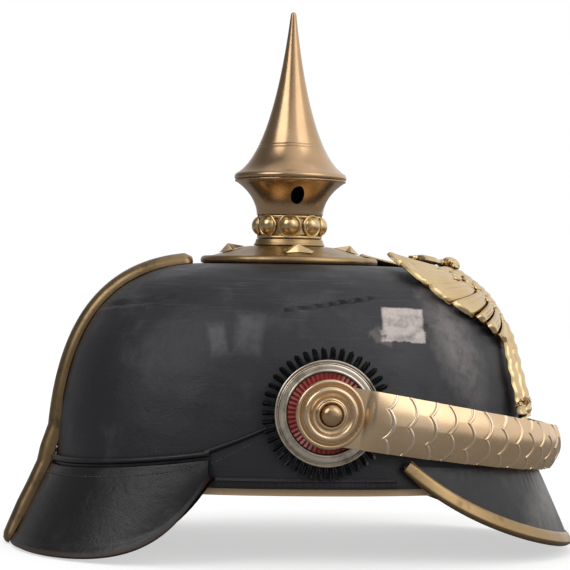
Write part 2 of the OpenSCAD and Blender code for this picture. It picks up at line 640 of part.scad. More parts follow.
module post_nut() {
    on_hinge() translate([0, 0, nut_y]) hex_nut(2 * post_r, post_r + 0.1, post_nut_h);
}
module right_post_nut() { color(brass) post_nut(); }
module left_post_nut() { color(brass) mirror([0, 1, 0]) post_nut(); }
module washer() {
    on_hinge() translate([0, 0, nut_y + post_nut_h + fit]) tube(washer_r, post_r + 0.1, washer_t);
}
module right_washer() { color(black_leather) washer(); }
module left_washer() { color(black_leather) mirror([0, 1, 0]) washer(); }

// Cockades: a pleated sheet with pointed teeth, a silver ring, and a folded disc in the middle
module outer_cockade() {
    on_hinge() translate([0, 0, cockade_y]) difference() {
        linear_extrude(height = cockade_t) polygon([for (k = [0:2 * teeth - 1])
            (k % 2 == 0 ? cockade_r : silver_r + 1.2) * [cos(180 * k / teeth), sin(180 * k / teeth)]]);
        translate([0, 0, -1]) cylinder(r = silver_in + 0.6, h = 4, $fn = 96);
    }
}
module right_outer_cockade() { color(black_leather) outer_cockade(); }
module left_outer_cockade() { color(black_leather) mirror([0, 1, 0]) outer_cockade(); }
module silver_ring() {
    lift = cockade_y + cockade_t + fit;
    on_hinge() rotate_extrude($fn = 96) polygon([
        [silver_in, lift], [silver_r, lift], [silver_r, lift + silver_t / 2],
        [silver_r - 0.6, lift + silver_t - 0.3], [silver_r - 1.2, lift + silver_t - 0.5],
        [silver_r - 1.6, lift + silver_t - 0.1], [silver_in + 1.2, lift + silver_t],
        [silver_in, lift + silver_t - 0.5]]);
}
module right_silver_ring() { color(silver) silver_ring(); }
module left_silver_ring() { color(silver) mirror([0, 1, 0]) silver_ring(); }
module inner_cockade() {
    on_hinge() translate([0, 0, cockade_y]) difference() {
        linear_extrude(height = 2 * cockade_t) polygon([for (k = [0:2 * folds - 1])
            (silver_in - fit - (k % 2) * 0.8) * [cos(180 * k / folds), sin(180 * k / folds)]]);
        translate([0, 0, -1]) cylinder(r = shoulder_r + fit, h = 4, $fn = 64);
    }
}
module right_inner_cockade() { color("#a8402c") inner_cockade(); }
module left_inner_cockade() { color(black_leather) mirror([0, 1, 0]) inner_cockade(); }

// Rosette: turned rings that step up to the post's head
module rosette() {
    r = rosette_r;
    y = rosette_y;
    on_hinge() rotate_extrude($fn = 96) polygon([
        [post_r + run, y], [r - 1, y], [r, y + 0.8], [r - 0.2, y + 2], [r - 1.4, y + 2.7], [r - 2.6, y + 2.3],
        [r - 3.4, y + 3], [r - 4.6, y + 4.7], [r - 6, y + 5], [r - 7.2, y + 4.2], [r - 7.8, y + 4.4],
        [r - 8.2, y + 5.6], [r - 9, y + rosette_h], [post_r + run, y + rosette_h]]);
}
module right_rosette() { color(tombak) rosette(); }
module left_rosette() { color(tombak) mirror([0, 1, 0]) rosette(); }

// The joined scales: s is the length from the rosette to the front, w the height across the band
function hoop_point(a) = oval(a, hoop_reach, hoop_half, hoop_power) * [cos(a), -sin(a)];
hoop_list = [for (k = 0, s = 0; k <= 60;
    s = s + norm(hoop_point(90 - 1.5 * (k + 1)) - hoop_point(90 - 1.5 * k)), k = k + 1) [s, 90 - 1.5 * k]];
hoop_len = hoop_list[60][0];
function hoop(s, w, off) = let (a = lookup(s, hoop_list), p = hoop_point(a),
    d = hoop_point(a + 0.3) - hoop_point(a - 0.3),
    q = p + off * unit([-d.y, d.x]) * (d.x > 0 ? -1 : 1)) [q.x, q.y, w];
module in_hoop() {
    translate([hinge_x, 0, hinge_z]) rotate([0, droop, 0]) children();
}
function half_band(s) = (band_wide + (band_narrow - band_wide) * clamp(s / hoop_len)) / 2;
scale_low = strap_t + seat + 0.1;
first_s = 23;
scale_pitch = (hoop_len - first_s - lobe - 0.6) / scales;
overlap = 0.6;
step_up = scale_t + 0.7;
function lobes(i, w) = lobe * (i % 2 == 0 ? abs(sin(180 * (w + 1))) : abs(cos(180 * (w + 1))));
function crossed(w) = bulge * (1 - w * w);
module one_scale(i) {
    s0 = first_s + scale_pitch * i - overlap;
    s1 = first_s + scale_pitch * (i + 1);
    ws = [for (k = [-4:4]) k / 4];
    function row(at, lift, more, out) = [for (w = ws)
        hoop(at + more * lobes(i, w), w * half_band(at), scale_low + lift + crossed(w) + out)];
    slab([row(s0, 0, 0, 0), row(s1, step_up, 1, 0)], [row(s0, 0, 0, scale_t), row(s1, step_up, 1, scale_t)]);
}
module spoon() {
    ws = [for (k = [-4:4]) k / 4];
    rows = [[7, 0], [15, 0.05], [18.5, 0.6], [first_s + lobe, 1]];
    function row(q, out) = [for (w = ws) hoop(q[0] - (w * w) * 1.5, w * half_band(q[0]),
        scale_low + step_up * q[1] + crossed(w) * q[1] + out)];
    slab([for (q = rows) row(q, 0)], [for (q = rows) row(q, scale_t + 0.1)]);
}
module scale_set() {
    difference() {
        union() {
            in_hoop() spoon();
            on_hinge() translate([0, 0, plate_y]) cylinder(r = 12.4, h = 1, $fn = 64);
        }
        on_hinge() cylinder(r = post_r + run, h = 2 * hoop_half, $fn = 64);
    }
    in_hoop() for (i = [0:scales - 1]) one_scale(i);
}
module right_scales() { color(tombak) scale_set(); }
module left_scales() { color(tombak) mirror([0, 1, 0]) scale_set(); }

// Leather straps behind the scales, buckled together on the wearer's left
buckle_s = hoop_len - 44;
module strap(stations) {
    loft([for (q = stations) let (s = q[0], lift = q[1], h = q[2] / 2) [hoop(s, -h, lift), hoop(s, h, lift),
        hoop(s, h, lift + strap_t), hoop(s, -h, lift + strap_t)]]);
}
module strap_eye() {
    on_hinge() translate([0, 0, strap_y]) tube(8.4, post_r + run, strap_t);
}
module right_strap() {
    color(black_leather) {
        difference() {
            union() {
                in_hoop() strap([for (k = [0:24]) [6 + (hoop_len - 6) * k / 24, 0, strap_w]]);
                strap_eye();
            }
            on_hinge() cylinder(r = post_r + run, h = 2 * hoop_half, $fn = 64);
        }
        in_hoop() mirror([0, 1, 0]) strap([[hoop_len, 0, strap_w], [hoop_len - 10, 0, strap_w],
            [hoop_len - 20, 0, strap_w], [hoop_len - 30, 0, strap_w * 0.8],
            [hoop_len - 34, 0, strap_w * 0.3]]);
    }
}
module left_strap() {
    color(black_leather) mirror([0, 1, 0]) difference() {
        union() {
            in_hoop() strap([for (k = [0:18]) [6 + (buckle_s - 6) * k / 18, 0, strap_w]]);
            strap_eye();
        }
        on_hinge() cylinder(r = post_r + run, h = 2 * hoop_half, $fn = 64);
    }
}
buckle_wire = 0.8;
buckle_w = strap_w + 4 * buckle_wire + fit;
buckle_l = 15;
// The flat frame clears the strap's curve
buckle_in = buckle_wire + fit + 0.7;
module at_buckle() {
    p = hoop(buckle_s + 6, 0, -buckle_in);
    ahead = hoop(buckle_s + 7, 0, -buckle_in) - p;
    mirror([0, 1, 0]) in_hoop() translate(p) rotate(atan2(ahead.y, ahead.x)) children();
}
module buckle() {
    color(brass) at_buckle() rotate([90, 0, 0]) difference() {
        linear_extrude(height = 2 * buckle_wire, center = true) square([buckle_l, buckle_w], center = true);
        linear_extrude(height = 8, center = true)
            square([buckle_l - 4 * buckle_wire, buckle_w - 4 * buckle_wire], center = true);
    }
}
module buckle_prong() {
    color(brass) at_buckle() rotate([0, 90, 0])
        cylinder(r = 0.6, h = buckle_l - 4 * buckle_wire - 2 * fit, center = true, $fn = 24);
}

// Sweatband, and the leather tongues that rise from it to carry the helmet on the head
sweat_top = 0.2;
// Hole in a tongue round a nut of the eagle plate
plate_hole_r = 4.4;
module post_notches() {
    both_sides() on_hinge() cylinder(r = washer_r + 1, h = 1.25 * skull_half_width, $fn = 48);
}
module sweatband() {
    out = -leather_t - seat;
    color(tan_leather) difference() {
        loft([for (k = [0:around - 1]) let (a = 360 * k / around, n = rim_out(a), low = rim_z - sweat_drop,
            p = rim(a) + n * out, q = rim(a) + n * (out - sweat_t))
            [[p.x, p.y, low], [p.x, p.y, rim_z], skin(a, 0.1, out), skin(a, sweat_top, out),
                skin(a, sweat_top, out - sweat_t), skin(a, 0.1, out - sweat_t),
                [q.x, q.y, rim_z], [q.x, q.y, low]]], ring = true);
        post_notches();
    }
}
module lining_tongues() {
    rows = [[0.215, 0, 1], [0.3, 0.8, 1], [0.4, 2.4, 1], [0.5, 4.6, 0.95], [0.6, 7.5, 0.85],
        [0.7, 11, 0.65], [0.78, 14.5, 0.4]];
    out = -leather_t - seat;
    half = 150 / tongues;
    color(tan_leather) difference() {
        for (k = [0:tongues - 1]) let (a = 360 * (k + 0.5) / tongues)
            slab([for (q = rows) [for (w = [-1, 0, 1])
                    skin(a + w * half * q[2], q[0], out - q[1] - tongue_t)]],
                [for (q = rows) [for (w = [-1, 0, 1]) skin(a + w * half * q[2], q[0], out - q[1])]]);
        post_notches();
        plate_post_places() translate([0, 0, -skull_half_width / 4])
            cylinder(r = plate_hole_r, h = skull_half_width / 4, $fn = 32);
    }
}

skull();
front_visor();
front_visor_trim();
rear_visor();
rear_visor_welt();
rim_strip();
side_seams();
rear_spine();
base_plate();
backing_plate();
star_studs();
star_nuts();
spike_socket();
beaded_ring();
spike_neck();
spike();
eagle_plate();
plate_posts();
plate_nuts();
right_post();
left_post();
right_post_nut();
left_post_nut();
right_washer();
left_washer();
right_outer_cockade();
left_outer_cockade();
right_silver_ring();
left_silver_ring();
right_inner_cockade();
left_inner_cockade();
right_rosette();
left_rosette();
right_scales();
left_scales();
right_strap();
left_strap();
buckle();
buckle_prong();
sweatband();
lining_tongues();
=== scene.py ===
# %% [markdown]
# # A spiked leather helmet of the nineteenth century
# The helmet is a boiled leather skull with two visors, a rear spine, a base plate with a screwed-on spike,
# an eagle plate in front, and brass chin scales that hang from rosettes over round cockades.
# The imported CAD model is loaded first. It says where every part is, and nothing here changes its sizes.

# %% Load the frame
import math
import bpy
import numpy as np
from mathutils import Matrix, Vector


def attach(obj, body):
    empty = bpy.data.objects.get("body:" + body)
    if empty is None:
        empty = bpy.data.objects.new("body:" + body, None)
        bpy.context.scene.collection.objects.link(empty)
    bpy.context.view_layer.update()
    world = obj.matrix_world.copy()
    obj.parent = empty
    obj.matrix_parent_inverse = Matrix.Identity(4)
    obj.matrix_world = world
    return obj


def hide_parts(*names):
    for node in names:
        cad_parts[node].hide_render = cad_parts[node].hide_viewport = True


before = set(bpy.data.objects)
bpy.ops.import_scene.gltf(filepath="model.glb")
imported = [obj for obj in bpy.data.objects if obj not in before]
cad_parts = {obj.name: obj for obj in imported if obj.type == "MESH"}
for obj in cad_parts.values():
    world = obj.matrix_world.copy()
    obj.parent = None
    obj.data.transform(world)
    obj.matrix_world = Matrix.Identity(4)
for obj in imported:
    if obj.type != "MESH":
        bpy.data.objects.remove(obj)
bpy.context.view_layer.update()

MM = 0.001

# %% [markdown]
# ## Working as at a bench
# An operator acts on everything that is selected, so each piece is picked alone before work on it starts.
# Most metal parts of this helmet were spun on a lathe, and most leather and sheet parts were cut flat
# and pressed over a wooden form. The helpers do the same: one spins a profile, one presses a flat sheet.

# %% Picking pieces and naming them
def mode(kind):
    bpy.ops.object.mode_set(mode=kind)


def new_start():
    bpy.ops.object.select_all(action="DESELECT")


def pick(*pieces):
    if bpy.context.object and bpy.context.object.mode != "OBJECT":
        mode("OBJECT")
    new_start()
    for piece in pieces:
        piece.select_set(True)
    bpy.context.view_layer.objects.active = pieces[0]


def named(name):
    piece = bpy.context.object
    piece.name = piece.data.name = name
    return piece


# %% Applying a modifier, rounding edges and cleaning a mesh
def apply(piece, kind, **settings):
    pick(piece)
    step = piece.modifiers.new(kind.title(), kind)
    for key, value in settings.items():
        setattr(step, key, value)
    bpy.ops.object.modifier_apply(modifier=step.name)


def bevel(piece, width, segments, corner):
    """Rounds every edge that is sharper than the given corner in degrees."""
    apply(piece, "BEVEL", width=width * MM, segments=segments, limit_method="ANGLE", angle_limit=math.radians(corner))


def tidy_mesh(piece, recalculate=True):
    pick(piece)
    mode("EDIT")
    bpy.ops.mesh.select_all(action="SELECT")
    bpy.ops.mesh.remove_doubles(threshold=0.000002)
    if recalculate:
        bpy.ops.mesh.normals_make_consistent(inside=False)
    mode("OBJECT")


# %% Finishing one piece, and joining several
def finish(piece, material, body, slot, *nodes, angle=35):
    pick(piece)
    bpy.ops.object.transform_apply(location=True, rotation=True, scale=True)
    bpy.ops.object.shade_smooth_by_angle(angle=math.radians(angle))
    piece.data.materials.clear()
    piece.data.materials.append(material)
    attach(piece, body)
    if nodes:
        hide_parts(*nodes)
    print(piece.name, "triangles:", sum(len(f.vertices) - 2 for f in piece.data.polygons))
    return piece


def join(pieces, name):
    pick(*pieces)
    bpy.ops.object.join()
    return named(name)


# %% A lathe: a profile is drawn point by point and spun
LATHE_STEPS = 128


def turned(name, profile, steps=LATHE_STEPS):
    new_start()
    r, z = profile[0]
    bpy.ops.mesh.primitive_plane_add(size=MM)
    piece = named(name)
    mode("EDIT")
    bpy.ops.mesh.merge(type="CENTER")
    bpy.ops.transform.translate(value=(r * MM, 0, z * MM))
    for r1, z1 in profile[1:]:
        bpy.ops.mesh.extrude_region_move(TRANSFORM_OT_translate={"value": ((r1 - r) * MM, 0, (z1 - z) * MM)})
        r, z = r1, z1
    bpy.ops.mesh.select_all(action="SELECT")
    bpy.ops.mesh.spin(steps=steps, angle=2 * math.pi, center=(0, 0, 0), axis=(0, 0, 1))
    mode("OBJECT")
    tidy_mesh(piece)
    return piece


print("steps in one turn of the lathe:", LATHE_STEPS)


# %% A press: a flat sheet takes the shape of a form
def press(name, cols, rows, form):
    """form takes u and v from 0 to 1 and a height in mm, and gives points in mm."""
    new_start()
    bpy.ops.mesh.primitive_grid_add(x_subdivisions=cols, y_subdivisions=rows, size=1)
    piece = named(name)
    mesh = piece.data
    flat = np.zeros(len(mesh.vertices) * 3)
    mesh.vertices.foreach_get("co", flat)
    flat = flat.reshape(-1, 3)
    points = form(flat[:, 0] + 0.5, flat[:, 1] + 0.5, flat[:, 2])
    mesh.vertices.foreach_set("co", (points * MM).ravel())
    mesh.update()
    # The sheet's face has to look the way that the form lifts it
    lift = form(np.array([0.5, 0.5]), np.array([0.5, 0.5]), np.array([0.0, 1.0]))
    middle = Vector((lift[0] * MM).tolist())
    near = min(mesh.polygons, key=lambda f: (f.center - middle).length)
    if near.normal.dot(Vector((lift[1] - lift[0]).tolist())) < 0:
        mesh.flip_normals()
    return piece


def thicken(piece, thickness, rounding=0.0, side=-1):
    apply(piece, "SOLIDIFY", thickness=thickness * MM, offset=side, use_even_offset=True)
    if rounding:
        bevel(piece, rounding, 3, 50)
    tidy_mesh(piece)
    return piece


def sheet(name, cols, rows, form, thickness, rounding=0.0, side=-1):
    return thicken(press(name, cols, rows, form), thickness, rounding, side)


print("helpers: lathe and press are ready")

# %% [markdown]
# ## Camera, light and floor
# The camera stands on the wearer's right, a little below the crown, and looks at the helmet as the photograph does.
# Soft suns stand in for large softboxes: they light the floor evenly, so it stays pale up to the horizon.
# The world is a white studio. In reflections it is white in front of the helmet's eagle and grows greyer towards
# its back, which is where a studio has its unlit wall. One softbox hangs over the camera, and shows in every piece
# of metal that is tilted up towards it.

# %% Camera
CAMERA_AIM = Vector((-3.7, 0, 118.7)) * MM
CAMERA_DISTANCE = 0.966
CAMERA_YAW = math.radians(-8)
CAMERA_ROLL = math.radians(1.1)
LENS_MM, SENSOR_MM = 132.6, 36

back = Vector((math.sin(CAMERA_YAW), -math.cos(CAMERA_YAW), 0)) * CAMERA_DISTANCE
away = back.normalized()
level = Vector((math.cos(CAMERA_YAW), math.sin(CAMERA_YAW), 0))
upright = away.cross(level)
right = level * math.cos(CAMERA_ROLL) + upright * math.sin(CAMERA_ROLL)
up = -level * math.sin(CAMERA_ROLL) + upright * math.cos(CAMERA_ROLL)
camera = bpy.data.objects.new("camera", bpy.data.cameras.new("camera"))
bpy.context.scene.collection.objects.link(camera)
camera.matrix_world = Matrix.Translation(CAMERA_AIM + back) @ Matrix((right, up, away)).transposed().to_4x4()
camera.data.lens = LENS_MM
camera.data.sensor_width = SENSOR_MM
camera.data.clip_start = 0.05
bpy.context.scene.camera = camera
bpy.context.scene.view_settings.view_transform = "Standard"
print("camera at", [round(v, 3) for v in camera.location])


# %% One helper adds any node and gives back one of its outputs
def wire(tree, node, sockets):
    """Links each socket to an output, or sets its value."""
    for key, value in sockets.items():
        if isinstance(value, bpy.types.NodeSocket):
            tree.links.new(value, node.inputs[key])
        else:
            node.inputs[key].default_value = value


def add(tree, kind, sockets=None, out=0, **settings):
    node = tree.nodes.new("ShaderNode" + kind)
    for key, value in settings.items():
        setattr(node, key, value)
    wire(tree, node, sockets or {})
    return node.outputs[out] if node.outputs else node


def linear(hex_colour):
    """An sRGB hex colour as the linear values that shaders need."""
    parts = [int(hex_colour[i:i + 2], 16) / 255 for i in (1, 3, 5)]
    return tuple(p / 12.92 if p <= 0.04045 else ((p + 0.055) / 1.055) ** 2.4 for p in parts) + (1.0,)


# A Mix node that works on colours takes them at its inputs 6 and 7, and gives the result at its output 2
MIX_A, MIX_B = 6, 7
COLOURS = {"out": 2, "data_type": "RGBA"}
print("white is", linear("#ffffff"))

# %% World
BRIGHT_SIDE = Vector((0.9, 0.18, -0.1)).normalized()
SOFTBOX = Vector((0.1, -0.6, 0.8)).normalized()
WHITE = (1, 1, 1, 1)
world = bpy.data.worlds.new("studio")
world.use_nodes = True
bpy.context.scene.world = world
sky = world.node_tree
sky.nodes.clear()
path = add(sky, "LightPath").node.outputs
towards = add(sky, "TexCoord", out="Generated")
facing = add(sky, "VectorMath", {0: towards, 1: BRIGHT_SIDE}, "Value", operation="DOT_PRODUCT")
wall = add(sky, "MapRange", {"Value": facing, "From Min": -0.6, "From Max": 0.75, "To Min": 0.17, "To Max": 1.0},
           interpolation_type="SMOOTHSTEP")
facing = add(sky, "VectorMath", {0: towards, 1: SOFTBOX}, "Value", operation="DOT_PRODUCT")
box = add(sky, "MapRange", {"Value": facing, "From Min": 0.8, "From Max": 0.98, "To Max": 0.5},
          interpolation_type="SMOOTHSTEP")
wall = add(sky, "Math", {0: wall, 1: box}, operation="ADD")
# The camera sees plain white; what is lit by the world gets a softer share of it
seen = add(sky, "Math", {0: path["Is Camera Ray"], 1: path["Is Transmission Ray"]}, operation="MAXIMUM")
plain = add(sky, "MapRange", {"Value": seen, "To Min": 0.68, "To Max": 1.0})
strength = add(sky, "Mix", {0: path["Is Glossy Ray"], 2: plain, 3: wall})
shade = add(sky, "Background", {"Color": WHITE, "Strength": strength})
add(sky, "OutputWorld", {"Surface": shade})
print("world nodes:", len(sky.nodes))


# %% Lamps
def lamp(name, direction, strength, spread):
    data = bpy.data.lights.new(name, "SUN")
    data.energy = strength
    data.angle = math.radians(spread)
    item = bpy.data.objects.new(name, data)
    bpy.context.scene.collection.objects.link(item)
    item.rotation_euler = Vector(direction).to_track_quat("Z", "Y").to_euler()


lamp("key_softbox", (0.75, -0.75, 0.75), 0.47, 42)
lamp("left_softbox", (-0.85, -0.6, 0.8), 0.95, 40)
lamp("top_softbox", (0.05, 0.25, 1.0), 0.22, 50)


# %% Floor
def new_finish(name):
    """A new material, with its nodes and its surface shader."""
    material = bpy.data.materials.new(name)
    material.use_nodes = True
    tree = material.node_tree
    return material, tree, tree.nodes["Principled BSDF"]


FLOOR_SIZE = 8
new_start()
bpy.ops.mesh.primitive_plane_add(size=FLOOR_SIZE)
floor = named("floor")
pale_floor, paper, face = new_finish("matt_white_paper")
# To the camera the paper glows a little, so that it joins the white background and its shadow stays soft
seen = add(paper, "LightPath", out="Is Camera Ray")
tone = add(paper, "Mix", {0: seen, MIX_A: linear("#8e8e8e"), MIX_B: linear("#bcbcbc")}, **COLOURS)
glow = add(paper, "Math", {0: seen, 1: 0.56}, operation="MULTIPLY")
wire(paper, face, {"Base Color": tone, "Roughness": 0.9, "Specular IOR Level": 0.2, "Emission Color": WHITE,
                   "Emission Strength": glow})
floor.data.materials.append(pale_floor)
print("floor:", FLOOR_SIZE, "m of", pale_floor.name)

# %% [markdown]
# ## Materials
# Each finish starts from the real stuff. Waxed black leather has a fine pore grain, soft creases and rubbed places.
# Tombak is a copper-rich brass, brushed to a satin; the gilt parts are paler; plain brass is yellower and stained.
# Every pattern's scale comes from a size in millimetres: a noise scale of 1000 means features of about 1 mm.

# %% Metals
def metal(name, clean, dull, stain, roughness, stain_amount, brushed=0.15, coat=0.0, recess=0.0, edge=None):
    """clean, dull and stain are its colours when polished, satin and tarnished."""
    material, tree, face = new_finish(name)
    where = add(tree, "TexCoord", out="Object")
    cloud = add(tree, "TexNoise", {"Vector": where, "Scale": 45, "Detail": 3, "Roughness": 0.5})
    spots = add(tree, "TexNoise", {"Vector": where, "Scale": 130, "Detail": 8, "Roughness": 0.66})
    colour = add(tree, "Mix", {0: cloud, MIX_A: linear(clean), MIX_B: linear(dull)}, **COLOURS)
    amount = add(tree, "MapRange", {"Value": spots, "From Min": 0.72 - stain_amount,
                                    "From Max": 0.86 - stain_amount * 0.6, "To Max": 0.75})
    colour = add(tree, "Mix", {0: amount, MIX_A: colour, MIX_B: linear(stain)}, **COLOURS)
    if recess:
        # Polish never reaches the grooves, so they stay dark
        hollow = add(tree, "NewGeometry", out="Pointiness")
        deep = add(tree, "MapRange", {"Value": hollow, "From Min": 0.49, "From Max": 0.4, "To Max": recess})
        colour = add(tree, "Mix", {0: deep, MIX_A: colour, MIX_B: linear(stain)}, **COLOURS)
    if edge:
        # The raised line along a sheet's free end (its U from 0.8 to 1) is rubbed, and is painted near white as a
        # highlight along it
        along = add(tree, "SeparateXYZ", {0: add(tree, "TexCoord", out="UV")})
        rubbed = add(tree, "MapRange", {"Value": along, "From Min": 0.8, "From Max": 0.86, "To Max": 0.45})
        colour = add(tree, "Mix", {0: rubbed, MIX_A: colour, MIX_B: linear(edge)}, **COLOURS)
    satin = add(tree, "MapRange", {"Value": spots, "From Min": 0.3, "From Max": 0.8,
                                   "To Min": roughness - 0.04, "To Max": roughness + 0.08})
    # The lathe and the polishing cloth leave lines round the axis, a few tenths of a millimetre apart
    squeezed = add(tree, "Mapping", {"Vector": where, "Scale": (60, 60, 1300)})
    lines = add(tree, "TexNoise", {"Vector": squeezed, "Scale": 1, "Detail": 3})
    relief = add(tree, "Bump", {"Height": lines, "Strength": brushed, "Distance": 0.00006})
    dents = add(tree, "Bump", {"Height": cloud, "Strength": 0.14, "Distance": 0.0004, "Normal": relief})
    # Parade metal was varnished against tarnish, which adds a paler sheen over the brass
    wire(tree, face, {"Metallic": 1, "Base Color": colour, "Roughness": satin, "Normal": dents,
                      "Coat Weight": coat, "Coat Roughness": 0.3})
    return material


tombak = metal("brushed_tombak", "#d0ad84", "#9f8060", "#624d37", 0.24, 0.06, coat=0.3)
# The scales' raised edge lines are painted near white: rubbed brass, with a painted highlight on top
pale_tombak = metal("polished_tombak", "#ecd2ae", "#c59f75", "#8d6c46", 0.25, 0.03, brushed=0.0, coat=0.45,
                    edge="#fff3e0")
gilt = metal("worn_gilt_brass", "#e4cb9f", "#bfa06f", "#75592f", 0.25, 0.1, brushed=0.0, recess=0.8)
brass = metal("aged_brass", "#b89b70", "#8c7353", "#4d3f2e", 0.32, 0.16)
dark_brass = metal("stained_brass", "#aa8f68", "#77624a", "#3a3026", 0.36, 0.22)
silver = metal("worn_silver_plate", "#ece1d1", "#b8ab99", "#473e35", 0.32, 0.26, brushed=0.0, recess=0.6)
# Near black, for painted shade behind the spike's air holes
shade_black = metal("painted_shade_black", "#2a241d", "#1a1612", "#0c0a08", 0.6, 0.2)
print("metals:", [m.name for m in (tombak, pale_tombak, gilt, brass, dark_brass, silver, shade_black)])


# %% A patch on leather, for worn places and for painted sheen and shade
def blot(tree, where, centre, size, turn, ragged, soft, square=False):
    """A patch round one place, as a mask from 0 to 1: centre and half sizes in mm, turn in degrees about Y."""
    moved = add(tree, "Mapping", {"Vector": where, "Location": Vector(centre) * MM, "Scale": Vector(size) * MM,
                                  "Rotation": (0, math.radians(turn), 0)}, vector_type="TEXTURE")
    if square:
        parts = add(tree, "SeparateXYZ", {0: add(tree, "VectorMath", {0: moved}, operation="ABSOLUTE")}).node.outputs
        far = add(tree, "Math", {0: parts[0], 1: parts[2]}, operation="MAXIMUM")
        far = add(tree, "Math", {0: far, 1: parts[1]}, operation="MAXIMUM")
    else:
        far = add(tree, "VectorMath", {0: moved}, "Value", operation="LENGTH")
    torn = add(tree, "TexNoise", {"Vector": where, "Scale": 170, "Detail": 7, "Roughness": 0.7})
    edge = add(tree, "Math", {0: torn, 1: ragged, 2: far}, operation="MULTIPLY_ADD")
    middle = 1 + 0.5 * ragged
    return add(tree, "MapRange", {"Value": edge, "From Min": middle + soft / 2, "From Max": middle - soft / 2})


# %% Leather
def leather(name, dark, worn, roughness, grain_mm=0.9, crease=0.4, marks=(), lip=None, streaks_and_sheen=0.0):
    """dark is the dressed colour, worn the colour where wax and dye are rubbed away; lip colours a rolled edge."""
    material, tree, face = new_finish(name)
    where = add(tree, "TexCoord", out="Object")
    wide = add(tree, "TexNoise", {"Vector": where, "Scale": 38, "Detail": 5, "Roughness": 0.6})
    fine = add(tree, "TexNoise", {"Vector": where, "Scale": 700, "Detail": 4, "Roughness": 0.7})
    rubbed = add(tree, "MapRange", {"Value": wide, "From Min": 0.55, "From Max": 0.9})
    speckle = add(tree, "Math", {0: rubbed, 1: fine}, operation="MULTIPLY")
    colour = add(tree, "Mix", {0: speckle, MIX_A: linear(dark), MIX_B: linear(worn)}, **COLOURS)
    polish = add(tree, "MapRange", {"Value": wide, "From Min": 0.3, "From Max": 0.7,
                                    "To Min": roughness - 0.06, "To Max": roughness + 0.12})
    if streaks_and_sheen:
        # Hairline rubs run level round the head, some 0.5 mm high and 20 mm long; they thicken towards the crown,
        # where they are painted sheen on the top as well
        level = add(tree, "Mapping", {"Vector": where, "Scale": (45, 45, 1900)})
        hairs = add(tree, "TexNoise", {"Vector": level, "Scale": 1, "Detail": 3, "Roughness": 0.6})
        high = add(tree, "MapRange", {"Value": add(tree, "SeparateXYZ", {0: where}, "Z"), "From Min": 0.085,
                                      "From Max": 0.122, "To Min": 0.15 * streaks_and_sheen, "To Max": streaks_and_sheen})
        rubs_and_sheen = add(tree, "MapRange", {"Value": hairs, "From Min": 0.56, "From Max": 0.76, "To Max": high})
        colour = add(tree, "Mix", {0: rubs_and_sheen, MIX_A: colour, MIX_B: linear(worn)}, **COLOURS)
    if marks:
        flakes = add(tree, "TexNoise", {"Vector": where, "Scale": 190, "Detail": 7, "Roughness": 0.72})
        mottle = add(tree, "MapRange", {"Value": flakes, "From Min": 0.38, "From Max": 0.56, "To Min": 0.55})
    for tone, share, matt, *place in marks:
        mask = add(tree, "Math", {0: blot(tree, where, *place), 1: share}, operation="MULTIPLY")
        mask = add(tree, "Math", {0: mask, 1: mottle}, operation="MULTIPLY")
        colour = add(tree, "Mix", {0: mask, MIX_A: colour, MIX_B: linear(tone)}, **COLOURS)
        polish = add(tree, "Mix", {0: mask, 2: polish, 3: matt})
    if lip:
        height = add(tree, "SeparateXYZ", {0: add(tree, "TexCoord", out="UV")}, "Y")
        rough_edge = add(tree, "Math", {0: fine, 1: 0.05, 2: height}, operation="MULTIPLY_ADD")
        rolled = add(tree, "MapRange", {"Value": rough_edge, "From Min": 0.085, "From Max": 0.06, "To Max": 0.8})
        colour = add(tree, "Mix", {0: rolled, MIX_A: colour, MIX_B: linear(lip)}, **COLOURS)
        polish = add(tree, "Mix", {0: rolled, 2: polish, 3: 0.5})
    pores = add(tree, "TexVoronoi", {"Vector": where, "Scale": 1000 / grain_mm}, feature="DISTANCE_TO_EDGE")
    pore = add(tree, "MapRange", {"Value": pores, "From Max": 0.18})
    folds = add(tree, "TexNoise", {"Vector": where, "Scale": 95, "Detail": 8, "Roughness": 0.68, "Distortion": 0.4})
    grain = add(tree, "Bump", {"Height": pore, "Strength": 0.25, "Distance": 0.0001})
    relief = add(tree, "Bump", {"Height": folds, "Strength": crease, "Distance": 0.0008, "Normal": grain})
    wire(tree, face, {"Base Color": colour, "Roughness": polish, "Normal": relief})
    return material


# %% The leathers of this helmet
# Worn places, painted sheen and painted shade: colour, share, roughness; then centre and half sizes in mm, turn,
# raggedness, softness and squareness
SKULL_MARKS = (
    # Rubbed leather on the upper front, lightened further as a painted highlight
    ("#8a8482", 0.75, 0.5, (63, -62, 95), (8, 34, 22), -22, 1.1, 1.3),
    # A near-black band along the start of the first crease: painted shade in its groove
    ("#0e0d10", 0.8, 0.4, (-19.6, -69, 108.3), (12, 12, 2.6), 12.7, 0.9, 0.6),
    ("#8a8688", 0.2, 0.22, (-29, -72, 97.6), (5, 12, 7.4), 8, 0.9, 0.7, True),
    ("#8a8688", 0.2, 0.22, (-42, -71.4, 95.5), (3.2, 12, 6), -8, 0.9, 0.7, True),
    ("#7f7773", 0.45, 0.45, (28, -70, 97.5), (6, 12, 3), 25, 2.8, 0.5),
    ("#cbbeb8", 1.0, 0.6, (38.3, -68.8, 98.3), (9, 26, 3), 2, 1.6, 0.2, True),
    ("#cdc0ba", 1.0, 0.6, (38.3, -68.8, 103.8), (9.4, 26, 5.8), 2, 0.3, 0.12, True),
)
